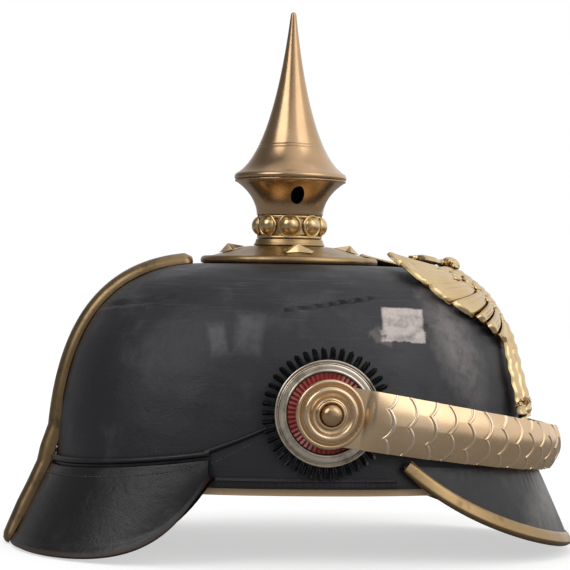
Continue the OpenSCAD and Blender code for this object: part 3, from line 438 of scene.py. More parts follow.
# The front visor's one mark is a haze that is partly rubbed leather and partly painted sheen
FRONT_RUB_AND_SHEEN = (("#8d8781", 0.7, 0.42, (104, -34, 21), (17, 26, 9), -35, 0.9, 1.3),)
black_leather = leather("waxed_black_leather", "#121115", "#555157", 0.38)
skull_leather = leather("marked_black_leather", "#1b1a20", "#5f5b60", 0.42, marks=SKULL_MARKS, streaks_and_sheen=0.4)
front_leather = leather("visor_leather_rubbed_and_painted_sheen", "#16151a", "#6d686d", 0.36, crease=0.5, marks=FRONT_RUB_AND_SHEEN)
visor_leather = leather("black_leather_with_worn_lip", "#100f13", "#4c474a", 0.32, crease=0.5, lip="#43342a")
# The tan is made paler than the leather's own tone, as painted light against the shade inside the rim
tan_leather = leather("tan_leather_painted_lighter", "#dcba94", "#f0d8b8", 0.60, crease=0.3)
green_lining = leather("green_dyed_leather", "#2c3a2a", "#5a6650", 0.55, crease=0.3)
red_lining = leather("red_dyed_leather", "#5a231c", "#8a4a3c", 0.55, crease=0.3)
print("leathers:", [m.name for m in (black_leather, skull_leather, front_leather, visor_leather, tan_leather)])


# %% Lacquers and thread
def lacquer(name, deep, light, roughness):
    """Lacquer over pleated cloth or tin: smooth, with a clear gloss and a little dust scattered over it."""
    material, tree, face = new_finish(name)
    where = add(tree, "TexCoord", out="Object")
    chips = add(tree, "TexNoise", {"Vector": where, "Scale": 420, "Detail": 6, "Roughness": 0.7})
    share = add(tree, "MapRange", {"Value": chips, "From Min": 0.5, "From Max": 0.8})
    colour = add(tree, "Mix", {0: share, MIX_A: linear(deep), MIX_B: linear(light)}, **COLOURS)
    relief = add(tree, "Bump", {"Height": chips, "Strength": 0.12, "Distance": 0.0002})
    wire(tree, face, {"Base Color": colour, "Roughness": roughness, "Normal": relief})
    return material


red_lacquer = lacquer("red_lacquer", "#8e1f14", "#b83a26", 0.28)
black_lacquer = lacquer("black_lacquer", "#0e0e10", "#36363a", 0.16)
linen_thread = lacquer("waxed_linen_thread", "#34302d", "#6b6259", 0.6)
print("lacquers:", red_lacquer.name, black_lacquer.name)

# %% [markdown]
# ## The leather skull
# The skull was boiled leather blocked over a wooden form, higher in front than behind, with a flat crown.
# The form is written once as a function of the direction round the head and the way up the profile.
# Every sheet that lies on the skull is pressed over this same function, so nothing floats and nothing sinks in.

# %% Small sums that many forms share
def unit(x):
    return np.clip(x, 0, 1)


def hump(x, middle, width):
    """A smooth bump of height 1 round one place."""
    return np.exp(-((x - middle) / width) ** 2)


def ray(a):
    """The direction a, in degrees round the head from the front towards the wearer's left."""
    return np.cos(np.radians(a)), np.sin(np.radians(a))


def lengths(points):
    """The way along a row of points, from the first one to each."""
    return np.concatenate([[0], np.cumsum(np.linalg.norm(np.diff(points, axis=0), axis=1))])


def scaled_to_one(vectors):
    return vectors / np.linalg.norm(vectors, axis=-1, keepdims=True)


print("a hump one width away from its middle:", round(float(hump(1, 0, 1)), 2))

# %% The wooden form
SKULL_FRONT, SKULL_REAR, SKULL_SIDE, PLAN_POWER = 109.8, 106.7, 85.5, 2.3
RIM_Z, CROWN_Z, CROWN_R = 33, 128, 40
SPIKE_X, AIR_HOLE_R = -2.1, 9
SKULL_T = 2.6
STEP_A, STEP_T = 0.2, 0.002


def rim_radius(a):
    c, s = ray(a)
    reach = np.where(c > 0, SKULL_FRONT, SKULL_REAR)
    return ((abs(c) / reach) ** PLAN_POWER + (abs(s) / SKULL_SIDE) ** PLAN_POWER) ** (-1 / PLAN_POWER)


def rim_point(a):
    return rim_radius(a)[..., None] * np.stack(ray(a), -1)


def rim_out(a):
    d = rim_point(a + STEP_A) - rim_point(a - STEP_A)
    return scaled_to_one(np.stack([d[..., 1], -d[..., 0]], -1))


print("rim length and width in mm:", SKULL_FRONT + SKULL_REAR, 2 * SKULL_SIDE)


# %% The leather's face over the form
def skull_face(a, t):
    """The leather's outer face: t runs from 0 at the rim to 1 at the crown, along a curve of four handles."""
    c, s = ray(a)
    front, rear, side = np.maximum(c, 0) ** 2, np.maximum(-c, 0) ** 2, s * s
    r = rim_radius(a)
    bends = [(1 - t) ** 3, 3 * (1 - t) ** 2 * t, 3 * (1 - t) * t * t, t ** 3]
    across = [r, r - 10 * front, 91.8 * front + 90.2 * rear + 66 * side, CROWN_R]
    upward = [RIM_Z, RIM_Z + 76 * front + 58 * rear + 62 * side, CROWN_Z, CROWN_Z]
    reach = sum(k * x for k, x in zip(bends, across))
    z = sum(k * x for k, x in zip(bends, upward))
    return np.stack([reach * c, reach * s, z], -1)


def on_skull(a, t, lift):
    """A point lifted by so many millimetres from the leather's outer face."""
    a, t, lift = np.broadcast_arrays(np.asarray(a, float), np.asarray(t, float), np.asarray(lift, float))
    across = skull_face(a + STEP_A, t) - skull_face(a - STEP_A, t)
    upward = skull_face(a, np.minimum(t + STEP_T, 1)) - skull_face(a, np.maximum(t - STEP_T, 0))
    return skull_face(a, t) + lift[..., None] * scaled_to_one(np.cross(across, upward))


print("from the rim up to the crown in mm:", CROWN_Z - RIM_Z)


# %% Old creases: grooves with raised lips, each along a line of places on the skull, in degrees and way up
MM_PER_DEGREE, MM_PER_T = 1.5, 125.0


def groove(a, t, places, width, depth, lips):
    """Heights in mm near a broken line; distances are taken in mm on the leather."""
    x, y = ((a + 180) % 360 - 180) * MM_PER_DEGREE, t * MM_PER_T
    far = np.full_like(x, 1e9)
    line = np.array(places) * (MM_PER_DEGREE, MM_PER_T)
    for p, q in zip(line, line[1:]):
        d = q - p
        along = unit(((x - p[0]) * d[0] + (y - p[1]) * d[1]) / (d @ d))
        here = np.hypot(x - p[0] - along * d[0], y - p[1] - along * d[1])
        far = np.minimum(far, here)
    ends = np.minimum(np.hypot(x - line[0][0], y - line[0][1]), np.hypot(x - line[-1][0], y - line[-1][1]))
    fade = unit(ends / 8) ** 0.7
    return fade * (-depth * hump(far, 0, width) + lips * hump(far, 2.2 * width, 1.2 * width))


def wear(a, t):
    """Gentle unevenness of blocked leather, and its creases."""
    turn = np.radians(a)
    wave = (np.sin(11 * turn + 9 * t) * np.sin(31 * t + 3 * turn) + 0.6 * np.sin(30 * turn - 17 * t + 1.3)
            + 0.5 * np.sin(71 * t + 2.2 * np.sin(6 * turn)))
    height = 0.07 * wave * unit(t * 8) * unit((1 - t) * 8)
    for places, width, depth, lips in CREASES:
        height = height + groove(a, t, places, width, depth, lips)
    return height


CREASES = [
    # places, width, depth and height of the lips in mm
    ([(-104.1, 0.537), (-96.6, 0.553), (-89.2, 0.565), (-81, 0.586), (-75.2, 0.596), (-70.2, 0.606), (-64.6, 0.616)],
     0.9, 0.95, 0.4),
    ([(-63, 0.40), (-57.8, 0.43), (-53.7, 0.455), (-47.1, 0.485)], 0.8, 0.8, 0.35),
    ([(-170.5, 0.558), (-155.5, 0.576), (-147.5, 0.588), (-140.7, 0.605)], 1.3, 0.7, 0.35),
    ([(-66, 0.42), (-66.2, 0.48), (-66.6, 0.555)], 0.9, 0.3, 0.1),
    ([(100, 0.5), (118, 0.53), (140, 0.51)], 1.4, 0.4, 0.2),
]
print("creases:", len(CREASES))


# %% Press the skull
SHEET_TOP = 1.18


def skull_form(u, v, w):
    """Above t = 1 the sheet runs flat across the crown to the air hole."""
    a, t = u * 360, np.minimum(v * SHEET_TOP, 1)
    points = on_skull(a, t, wear(a, t) + w)
    crown = unit((v * SHEET_TOP - 1) / 0.18)
    shrink = 1 - crown * (1 - AIR_HOLE_R / CROWN_R)
    points[:, 0] *= shrink
    points[:, 1] *= shrink
    return points


# The sheet's two upright ends meet and are merged before it gets its thickness
skull = press("skull_leather", 360, 110, skull_form)
tidy_mesh(skull, recalculate=False)
thicken(skull, SKULL_T, 0.5)
finish(skull, skull_leather, "helmet", "black_leather", "skull")

# %% [markdown]
# ## Visors
# Both visors are cut from thinner leather and stitched to the skull. They slope outward, and their edges
# rise in a curve towards the cockades. The front one is bound in brass; the rear one has a rolled lip.

# %% The visors' form
FRONT, REAR = 0, 180
# The forms' half angles, the leather's own, and the joint's height in the middle with its rise to the ends
SWEEP = {FRONT: 68, REAR: 62}
HALF_ANGLE = {FRONT: 66.4, REAR: 60.4}
JOINT_Z = {FRONT: (39.6, 3.9), REAR: (36.9, 8.3)}
VISOR_T, LIP_T, SEAT = 2.4, 0.7, 0.3


def joint_z(side, end):
    return JOINT_Z[side][0] + JOINT_Z[side][1] * end ** 2


def visor_form(side, f, d, lift):
    """f is the angle from the middle, d runs from the joint to the edge."""
    end = unit(abs(f) / SWEEP[side])
    joint = joint_z(side, end)
    if side == FRONT:
        low, flat, flare, power = 2.85 + 0 * end, 1, 0.46, 2.2
    else:
        flat, flare, power = 8.5, 0.48, 5
        low = 0.4 * (1 - unit(abs(f) / flat))
    edge = low + (joint - low) * unit((abs(f) - flat) / (SWEEP[side] - flat)) ** power
    slope = flare * (1 - end ** 2) + 0.1 * end ** 2
    z = joint + (edge - joint) * d
    plan = rim_point(side + f) + rim_out(side + f) * (SEAT + slope * (joint - z) + lift)[..., None]
    return np.concatenate([plan, z[..., None]], -1)


print("visors stand out by", [round(float(abs(visor_form(side, np.zeros(1), np.ones(1), 0)[0, 0])) - reach, 1)
                              for side, reach in ((FRONT, SKULL_FRONT), (REAR, SKULL_REAR))], "mm")


# %% The visors' swell, wrinkles and dyed lining
def swell(d):
    return 0.3 * np.sin(math.pi * unit(d))


def line_underside(piece, lining):
    """The faces that look inward and down take the dyed lining's material."""
    pick(piece)
    piece.data.materials.append(lining)
    mode("EDIT")
    bpy.ops.mesh.select_mode(type="FACE")
    bpy.ops.mesh.select_all(action="DESELECT")
    mode("OBJECT")
    for face in piece.data.polygons:
        face.select = face.normal.xy.dot(face.center.xy.normalized()) < -0.35
    mode("EDIT")
    piece.active_material_index = 1
    bpy.ops.object.material_slot_assign()
    bpy.ops.mesh.select_mode(type="VERT")
    mode("OBJECT")
    print(piece.name, "lined faces:", sum(f.material_index == 1 for f in piece.data.polygons))


def crinkle(u, d):
    """Fine upright wrinkles where the leather was stretched under the band and along the brass binding."""
    ripple = np.sin(2 * math.pi * 44 * u + 3 * np.sin(2 * math.pi * 7 * u))
    ripple = ripple * (0.6 + 0.4 * np.sin(2 * math.pi * 11 * u))
    return ripple * (0.2 * hump(d, 0.16, 0.12) + 0.12 * hump(d, 0.74, 0.08))


# %% Press the visors
front_visor = sheet("front_visor_leather", 280, 36, lambda u, v, w: visor_form(
    FRONT, (2 * u - 1) * HALF_ANGLE[FRONT], 1 - v, VISOR_T + swell(1 - v) + crinkle(u, 1 - v) * (w == 0) + w),
    VISOR_T, 0.4)
finish(front_visor, front_leather, "helmet", "black_leather", "front_visor")
line_underside(front_visor, green_lining)


def rear_lip(d):
    """The rolled lip: the last tenth of the leather is thicker and rounded."""
    return LIP_T * unit((d - 0.88) / 0.05)


# The rounding of the lip reaches past the sheet's edge, so the sheet itself ends a little above the floor
rear_visor = sheet("rear_visor_leather", 110, 36, lambda u, v, w: visor_form(
    REAR, (2 * u - 1) * HALF_ANGLE[REAR], 0.966 * (1 - v), VISOR_T + swell(1 - v) + rear_lip(1 - v) + w),
    VISOR_T + 0.5, 0.9)
finish(rear_visor, visor_leather, "helmet", "black_leather", "rear_visor")
line_underside(rear_visor, red_lining)


# %% The brass binding of the front visor
TRIM_T, TRIM_GAP = 0.8, 0.15


def binding(side, angles, section):
    """Sweeps a section along the visor's edge; its first axis points down off the edge, its second outward."""
    one, nil = np.ones_like(angles), 0 * angles
    mid = visor_form(side, angles, one, np.full_like(angles, VISOR_T / 2))
    along = scaled_to_one(visor_form(side, angles + 0.3, one, nil) - visor_form(side, angles - 0.3, one, nil))
    down = visor_form(side, angles, one, nil) - visor_form(side, angles, 0.8 * one, nil)
    down = scaled_to_one(down - (down * along).sum(-1, keepdims=True) * along)
    out = np.cross(along, down)
    out *= np.sign((out * np.stack([*ray(side + angles), nil], -1)).sum(-1, keepdims=True))
    return mid + down * section[:, :1] + out * section[:, 1:]


def trim_form(u, v, w):
    """v runs round the bent brass sheet, from its inner edge under the visor to its outer edge."""
    half, reach_in, reach_out = VISOR_T / 2 + TRIM_GAP + TRIM_T, 2.2, 4.9
    bend = math.pi * half
    length = reach_in + bend + reach_out
    s = v * length - reach_in
    turn = np.clip(s / half, 0, math.pi)
    down = np.where(s < 0, s, np.where(s > bend, bend - s, half * np.sin(turn) * 0.45)) - 0.3
    outer = unit((s - bend) / reach_out)
    bulge = np.sin(math.pi * unit((s - 0.5 * bend) / (reach_out + 0.5 * bend)))
    side_way = -half * np.cos(turn) + 0.15 * bulge
    # The upper edge is rolled down against the leather, and the inner leg is beaten thin where the ends tuck in
    side_way = side_way - unit((outer - 0.7) / 0.3) ** 2 * 0.6
    side_way = np.where(side_way < 0, side_way * (1 - 0.3 * (2 * abs(u - 0.5)) ** 6), side_way)
    return binding(FRONT, (2 * u - 1) * HALF_ANGLE[FRONT], np.stack([down, side_way + w * np.sign(side_way)], -1))


trim = sheet("front_visor_binding", 160, 26, trim_form, 0.75, 0.25)
finish(trim, brass, "helmet", "brass", "front_visor_trim")

# %% [markdown]
# ## Welt, stitches and rim strips
# A rolled strip of leather covers the joint of the rear visor, and a narrow strip binds the rim between the visors.
# Both are pressed from flat sheets along the rim's own curve, so they follow it exactly.
# A stitch is one small rounded thread. It is modelled once, and copies of it are set along the seams.

# %% The rolled welt over the rear visor
WELT_H = 3.8


def welt_form(u, v, w):
    f = (2 * u - 1) * HALF_ANGLE[REAR]
    z = joint_z(REAR, unit(abs(f) / SWEEP[REAR])) + SEAT + WELT_H * v
    # One smooth roll along the top, and below it the flat seam allowance
    roll = np.sqrt(unit(1 - ((v - 0.64) / 0.36) ** 2))
    bead = 1.2 + 1.8 * roll * unit((1 - abs(2 * u - 1)) / 0.02) ** 0.5
    plan = rim_point(REAR + f) + rim_out(REAR + f) * (bead + w)[..., None]
    return np.concatenate([plan, z[..., None]], -1)


welt = sheet("rear_visor_welt_leather", 110, 16, welt_form, 1.5, 0.2)
finish(welt, black_leather, "helmet", "black_leather", "rear_visor_welt")


# %% Copies with a mesh of their own, and small rounded lumps
def own_copy(model, name, place):
    copy = model.copy()
    copy.data = model.data.copy()
    copy.name = name
    bpy.context.scene.collection.objects.link(copy)
    copy.matrix_world = place
    return copy


def set_copy(model, at, out, along, name, grow=1.0):
    """Copies a piece with its own mesh: out becomes its Z axis, along its X axis."""
    out = Vector(out.tolist()).normalized()
    along = Vector(along.tolist())
    along = (along - along.dot(out) * out).normalized()
    turn = Matrix((along, out.cross(along), out)).transposed()
    at = Matrix.Translation(Vector(at.tolist()) * MM)
    return own_copy(model, name, at @ turn.to_4x4() @ Matrix.Scale(grow, 4))


def pebble(name, segments, rings, size):
    """A small rounded lump with the given half sizes in mm, still at the origin."""
    new_start()
    bpy.ops.mesh.primitive_uv_sphere_add(segments=segments, ring_count=rings, radius=MM)
    piece = named(name)
    bpy.ops.transform.resize(value=size)
    bpy.ops.object.transform_apply(scale=True)
    return piece


# %% Stitches: one short thread is modelled and set again and again along a seam
def stitch_row(name, line, lifted_line, gap_mm=2.2):
    """line(k) gives points on the leather for k from 0 to 1, lifted_line(k) the same points lifted by 1 mm."""
    thread = pebble("thread", 10, 6, (0.8, 0.28, 0.3))
    k = np.linspace(0, 1, 400)
    way = lengths(line(k))
    places = np.interp(np.arange(1.5, way[-1] - 1, gap_mm), way, k)
    points, lifted, beyond = line(places), lifted_line(places), line(places + 0.002)
    row = [set_copy(thread, at, out - at, there - at, name) for at, out, there in zip(points, lifted, beyond)]
    bpy.data.objects.remove(thread)
    print(name, len(row), "stitches")
    return row


def rear_row(lift):
    """Just under the welt, a tenth of the way down the rear visor."""
    return lambda k: visor_form(REAR, (2 * k - 1) * 59, 0.1 + 0 * k, VISOR_T + lift + 0 * k)


stitches = stitch_row("welt_stitch", rear_row(0.15), rear_row(1.15))


# %% Strips along the rim, from visor to visor, with a raised line
STRIP_H = 4.4


def strip_form(side):
    def form(u, v, w):
        a = side * (SWEEP[FRONT] + (REAR - SWEEP[REAR] - SWEEP[FRONT]) * u)
        out = SEAT + 1.3 - 0.4 * unit(abs(v - 0.5) * 2) ** 4 + 0.45 * hump(v, 0.78, 0.1)
        out = out + 0.09 * np.sin(2 * math.pi * 34 * u + 4 * np.sin(2 * math.pi * 5 * u)) * np.sin(math.pi * v)
        plan = rim_point(a) + rim_out(a) * (out + w)[..., None]
        return np.concatenate([plan, (RIM_Z + 0.1 + STRIP_H * v)[..., None]], -1)
    return form


strips = [sheet("strip", 200, 18, strip_form(side), 1.2, 0.25) for side in (-1, 1)]
finish(join(strips, "rim_strip_leather"), black_leather, "helmet", "black_leather", "rim_strip")

# %% [markdown]
# ## The rear spine
# A half-round brass strip runs from the base plate down the back and over the rear visor to its very edge.
# It is pressed from sheet: a wide flat rectangle bent into a low arch across and along the skull.

# %% Press the spine
SPINE_W, SPINE_H = 13, 4.7


def spine_line(v):
    """The line down the middle of the back, from the crown to the visor's edge."""
    top = on_skull(180.0 * np.ones(40), np.linspace(0.955, 0.12, 40), SEAT)
    d = np.array([-0.16, 0.02, 0.3, 0.6, 0.93, 1.0])
    low = visor_form(REAR, 0 * d, d, np.array([5.5, 3.7, 3.3, 3.3, 3.4, 3.4]))
    line = np.concatenate([top, low])
    # How far the brass is turned down at its sides, to reach the leather where the spine steps over the welt
    skirt = np.concatenate([0.2 + 0 * top[:-4, 0], [0.5, 0.9, 1.3, 1.7], [2.2, 1.1, 0.8, 0.8, 0.3, 0.2]])
    way = lengths(line)
    line = np.concatenate([line, skirt[:, None], (way[-1] - way)[:, None]], 1)
    return np.stack([np.interp(v * way[-1], way, line[:, i]) for i in range(5)], -1)


def spine_form(u, v, w):
    here, ahead = spine_line(v), spine_line(np.minimum(v + 0.01, 1)) - spine_line(np.maximum(v - 0.01, 0))
    skirt, left = here[:, 3], here[:, 4]
    here = here[:, :3]
    out = scaled_to_one(np.stack([ahead[:, 2], 0 * v, -ahead[:, 0]], -1))
    out *= np.where((out[:, 0] < 0) | (out[:, 2] > 0.5), 1, -1)[:, None]
    across = 2 * u - 1
    # Both ends are narrowed to a round, and the arch is low where it meets the visor's edge
    small = 1 - 0.4 * unit((v - 0.975) / 0.025) ** 2 - 0.4 * unit((0.02 - v) / 0.02) ** 2
    high = SPINE_H * np.interp(left, [0, 1, 3.5, 18], [0.35, 0.6, 0.8, 1]) * np.interp(v, [0, 0.02], [0.6, 1])
    arch = high * np.sqrt(unit(1 - across ** 2)) ** 0.9 - skirt * abs(across) ** 9
    return here + out * (arch + w)[:, None] + np.stack([0 * u, across * SPINE_W / 2 * small, 0 * u], -1)


spine = sheet("rear_spine_brass", 24, 150, spine_form, 0.9, 0.2)
finish(spine, dark_brass, "helmet", "brass", "rear_spine")

# %% [markdown]
# ## Base plate, socket, beaded ring, neck and spike
# All of these were spun on a lathe. A single point is drawn out into half a profile and spun round the axis.
# Sharp corners get a small bevel, because a spun and polished edge always catches a thin line of light.

# %% Spin the base plate and the socket
def on_axis(piece, corner=0.25):
    piece.location = (SPIKE_X * MM, 0, 0)
    if corner:
        bevel(piece, corner, 2, 40)


plate = turned("base_plate_brass", [
    (39.5, 128.15), (40.2, 128.4), (40.6, 129.0), (40.65, 129.8), (40.45, 130.6), (39.95, 131.2), (39.2, 131.55),
    (38.4, 131.6), (37.7, 131.45), (37.2, 131.3),
    (34, 132.15), (30, 133.35), (26, 134.5), (22, 135.65), (20, 136.15), (18, 136.35), (13.9, 136.4), (13.9, 135.4),
    (18, 135.3), (22, 134.55), (30, 132.3), (37.4, 130.1), (38.4, 129.7), (38.7, 128.15), (39.5, 128.15)])
on_axis(plate, 0.15)
finish(plate, brass, "helmet", "brass", "base_plate")

socket = turned("spike_socket_brass", [
    (11.5, 128.2), (13.7, 128.2), (13.7, 136.6), (16.2, 136.6), (16.3, 136.95), (16.15, 137.4), (15.8, 137.8),
    (15.55, 138.5), (15.4, 139.2), (15.2, 139.7), (11.5, 139.7), (11.5, 128.2)])
on_axis(socket)
finish(socket, brass, "helmet", "brass", "spike_socket")


# %% The beaded ring: eight round bosses are set round a waisted ring
ring = turned("ring", [
    (11.5, 139.9), (14.7, 139.9), (15.0, 140.3), (14.95, 140.8), (14.5, 141.2), (14.05, 141.8), (14.0, 148.7),
    (14.3, 149.1), (14.6, 149.5), (14.7, 150.0), (14.4, 150.5), (11.5, 150.5), (11.5, 139.9)])
on_axis(ring)
BEADS, BEAD_Z, BEAD_RING, BEAD_R = 8, 145.76, 12.7, 4.7
COLLAR_RING, COLLAR_R, COLLAR_WIRE = 14.3, 4.75, 0.55
beads = [ring]


def around(r, turn, z):
    """A place on a circle round the spike's axis."""
    return SPIKE_X * MM + r * MM * math.cos(turn), r * MM * math.sin(turn), z * MM


for k in range(BEADS):
    turn = 2 * math.pi / BEADS * k - math.radians(8)
    new_start()
    bpy.ops.mesh.primitive_uv_sphere_add(segments=40, ring_count=24, radius=BEAD_R * MM,
                                         location=around(BEAD_RING, turn, BEAD_Z))
    beads.append(named("bead"))
    # A raised collar holds each boss; neighbouring collars make the cups between them
    new_start()
    bpy.ops.mesh.primitive_torus_add(major_segments=40, minor_segments=10, major_radius=COLLAR_R * MM,
                                     minor_radius=COLLAR_WIRE * MM, location=around(COLLAR_RING, turn, BEAD_Z),
                                     rotation=(0, math.pi / 2, turn))
    beads.append(named("collar"))
ring = join(beads, "beaded_ring_gilt")
finish(ring, gilt, "helmet", "gilt", "beaded_ring")


# %% The flared neck, with a hole punched through both sides
def cubic(points, k):
    k = np.asarray(k)[..., None]
    p = [np.array(q, float) for q in points]
    return (1 - k) ** 3 * p[0] + 3 * (1 - k) ** 2 * k * p[1] + 3 * (1 - k) * k * k * p[2] + k ** 3 * p[3]


NECK_Z, NECK_H, LIP_R = 150.7, 16.2, 25.6
VENT_R, VENT_TALL, VENT_TURN = 3.1, 1.28, math.radians(2.5)
flare = cubic([(15.2, 0), (15.4, 6), (19, 11.2), (24.6, 15.0)], np.linspace(0, 1, 16))
outside = [(r, NECK_Z + z) for r, z in flare]
outside += [(25.2, NECK_Z + 15.2), (25.55, NECK_Z + 15.5), (LIP_R, NECK_Z + NECK_H)]
neck = turned("spike_neck_tombak", [(10, 138.75), (11.35, 138.75), (11.35, NECK_Z)] + outside + [
    (24.2, NECK_Z + NECK_H), (19.5, NECK_Z + 12.3), (15.6, NECK_Z + 8.4), (10, NECK_Z + 4), (10, 138.75)])
on_axis(neck)
new_start()
bpy.ops.mesh.primitive_cylinder_add(vertices=48, radius=VENT_R * MM, depth=60 * MM,
                                    rotation=(math.pi / 2, 0, VENT_TURN),
                                    location=(SPIKE_X * MM, 0, (NECK_Z + NECK_H * 0.54) * MM))
punch = named("punch")
bpy.ops.transform.resize(value=(1, 1, VENT_TALL))
apply(neck, "BOOLEAN", object=punch, operation="DIFFERENCE", solver="EXACT")
bpy.data.objects.remove(punch)
finish(neck, tombak, "spike_unit", "tombak", "spike_neck")

# Behind the air holes stands the tube that the thread is cut on, coloured near black as painted shade for the dark
# inside of the neck
tube = turned("air_tube", [(6.2, 151), (8, 151), (8, 163.1), (6.2, 163.1), (6.2, 151)], steps=48)
on_axis(tube, 0)
finish(tube, shade_black, "spike_unit", "tombak")

# %% The spike: its slope runs almost flat at the foot and steep at the tip
TOP_Z, TIP_R = 167.05, 1.3
curve = cubic([(24.7, 2.85), (13, 9.8), (5.5, 39.8), (1.3, 75.9)], np.linspace(0, 1, 200))
rows = [np.linspace(2.85, 13, 22), np.linspace(14, 17, 31), np.linspace(18, 75.9, 34)]
heights = np.unique(np.concatenate(rows))
# Two fine lines are turned into the shaft above its foot
lines = sum(0.16 * hump(heights, z, 0.22) for z in (14.8, 16.0))
slope = [(r, TOP_Z + z) for r, z in zip(np.interp(heights, curve[:, 1], curve[:, 0]) - lines, heights)]
tip = [(TIP_R * math.cos(k), TOP_Z + 75.9 + TIP_R * math.sin(k)) for k in np.radians([18, 36, 54, 72, 90])]
tip[-1] = (0, tip[-1][1])
foot = [(0, 163.2), (18.4, 163.2), (18.4, 166.9), (25.0, 166.95), (25.55, 167.2), (25.8, 167.8), (25.8, 168.5),
        (25.6, 169.1), (25.2, 169.6)]
spike = turned("spike_tombak", foot + slope + tip, steps=144)
on_axis(spike, 0)
finish(spike, tombak, "spike_unit", "tombak", "spike", angle=50)

# %% [markdown]
# ## Star studs
# Four five-pointed studs hold the base plate. Each was struck from gilt sheet, with sharp ridges to its points.
# A ten-sided cone gives them at once, when every other corner of its rim is pulled in towards the middle.

# %% Model one stud, then set four
STAR_R, STAR_H, STAR_WAIST, STAR_PLACE, STAR_Z = 7.4, 3.4, 0.42, 27.6, 134.2
PLATE_SLOPE = math.radians(16.2)
new_start()
bpy.ops.mesh.primitive_cone_add(vertices=10, radius1=STAR_R * MM, radius2=0, depth=STAR_H * MM,
                                location=(0, 0, STAR_H / 2 * MM))
star = named("star")
bpy.ops.object.transform_apply(location=True)
mode("EDIT")
bpy.ops.mesh.select_all(action="DESELECT")
mode("OBJECT")
for vertex in star.data.vertices:
    turn = round(math.degrees(math.atan2(vertex.co.y, vertex.co.x)) / 36)
    vertex.select = vertex.co.z < 0.0001 and turn % 2 == 1
mode("EDIT")
bpy.ops.transform.resize(value=(STAR_WAIST, STAR_WAIST, 1), center_override=(0, 0, 0))
mode("OBJECT")
bevel(star, 0.18, 2, 18)
studs = []
for k in range(4):
    turn = math.pi / 2 * k
    place = Matrix.Translation((SPIKE_X * MM, 0, 0)) @ Matrix.Rotation(turn, 4, "Z")
    tilt = Matrix.Translation((STAR_PLACE * MM, 0, STAR_Z * MM)) @ Matrix.Rotation(PLATE_SLOPE, 4, "Y")
    studs.append(own_copy(star, "stud", place @ tilt))
    new_start()
    bpy.ops.mesh.primitive_cylinder_add(vertices=24, radius=1.4 * MM, depth=13.6 * MM, location=(
        (SPIKE_X + STAR_PLACE * math.cos(turn)) * MM, STAR_PLACE * math.sin(turn) * MM, 128.2 * MM))
    studs.append(named("shank"))
bpy.data.objects.remove(star)
finish(join(studs, "star_studs_gilt"), gilt, "helmet", "gilt", "star_studs", angle=16)

# %% [markdown]
# ## Cockades and rosettes
# On each side a pleated black disc with sharp teeth lies under a silver ring and a folded coloured disc.
# The pleats are real folds: a ring of edges is drawn outward, then every second or every fourth spoke is lifted.
# A turned rosette and the domed head of its post lie on top. Side pieces are spun upright, then laid over.

# %% Laying a piece over onto the rosettes' axis, and choosing points in edit mode
HINGE_X, HINGE_Z = 3.0, 65.2
SIDES = {"right": -1, "left": 1}


def lay_over(piece, side):
    piece.rotation_euler = (-SIDES[side] * math.pi / 2, 0, 0)
    piece.location = (HINGE_X * MM, 0, HINGE_Z * MM)
    pick(piece)
    bpy.ops.object.transform_apply(location=True, rotation=True, scale=True)
    return piece


def choose(piece, test):
    """Selects the points that pass a test, and leaves the piece in edit mode."""
    pick(piece)
    mode("EDIT")
    bpy.ops.mesh.select_mode(type="VERT")
    bpy.ops.mesh.select_all(action="DESELECT")
    mode("OBJECT")
    for vertex in piece.data.vertices:
        vertex.select = bool(test(vertex.co / MM))
    mode("EDIT")


def scale_round(factor, z):
    """Brings what is selected nearer to the axis, or further from it, and leaves its height as it is."""
    bpy.ops.transform.resize(value=(factor, factor, 1), center_override=(0, 0, z * MM))


def spoke(co, count):
    return round(math.degrees(math.atan2(co.y, co.x)) / (360 / count)) % count


print("the rosettes' axis lies at x and z in mm:", HINGE_X, HINGE_Z)


# %% Pleated discs: on the skull's side lie the rim strip's leather and then the cockade, with small gaps
COCKADE_Y = SKULL_SIDE + SEAT + 1.3 + 0.15


def pleated(name, count, radii, lift, low, thickness, every=2):
    """A ring of edges drawn outward through the radii; every second, or fourth, spoke rises by lift."""
    new_start()
    bpy.ops.mesh.primitive_circle_add(vertices=count, radius=radii[0] * MM, location=(0, 0, low * MM))
    disc = named(name)
    bpy.ops.object.transform_apply(location=True)
    mode("EDIT")
    bpy.ops.mesh.select_all(action="SELECT")
    for inner, outer in zip(radii, radii[1:]):
        bpy.ops.mesh.extrude_region_move()
        scale_round(outer / inner, low)
    choose(disc, lambda co: spoke(co, count) % every == 0)
    bpy.ops.transform.translate(value=(0, 0, lift * MM))
    mode("OBJECT")
    thicken(disc, thickness, 0, side=1)
    return disc


def finish_side(piece, side, name, node, material, body, slot, angle=35):
    """Lays a piece of one side in its place and finishes it under that side's name, for that side's node."""
    lay_over(piece, side)
    finish(piece, material, body, slot, f"{side}_{node}", angle=angle).name = f"{side}_{name}"


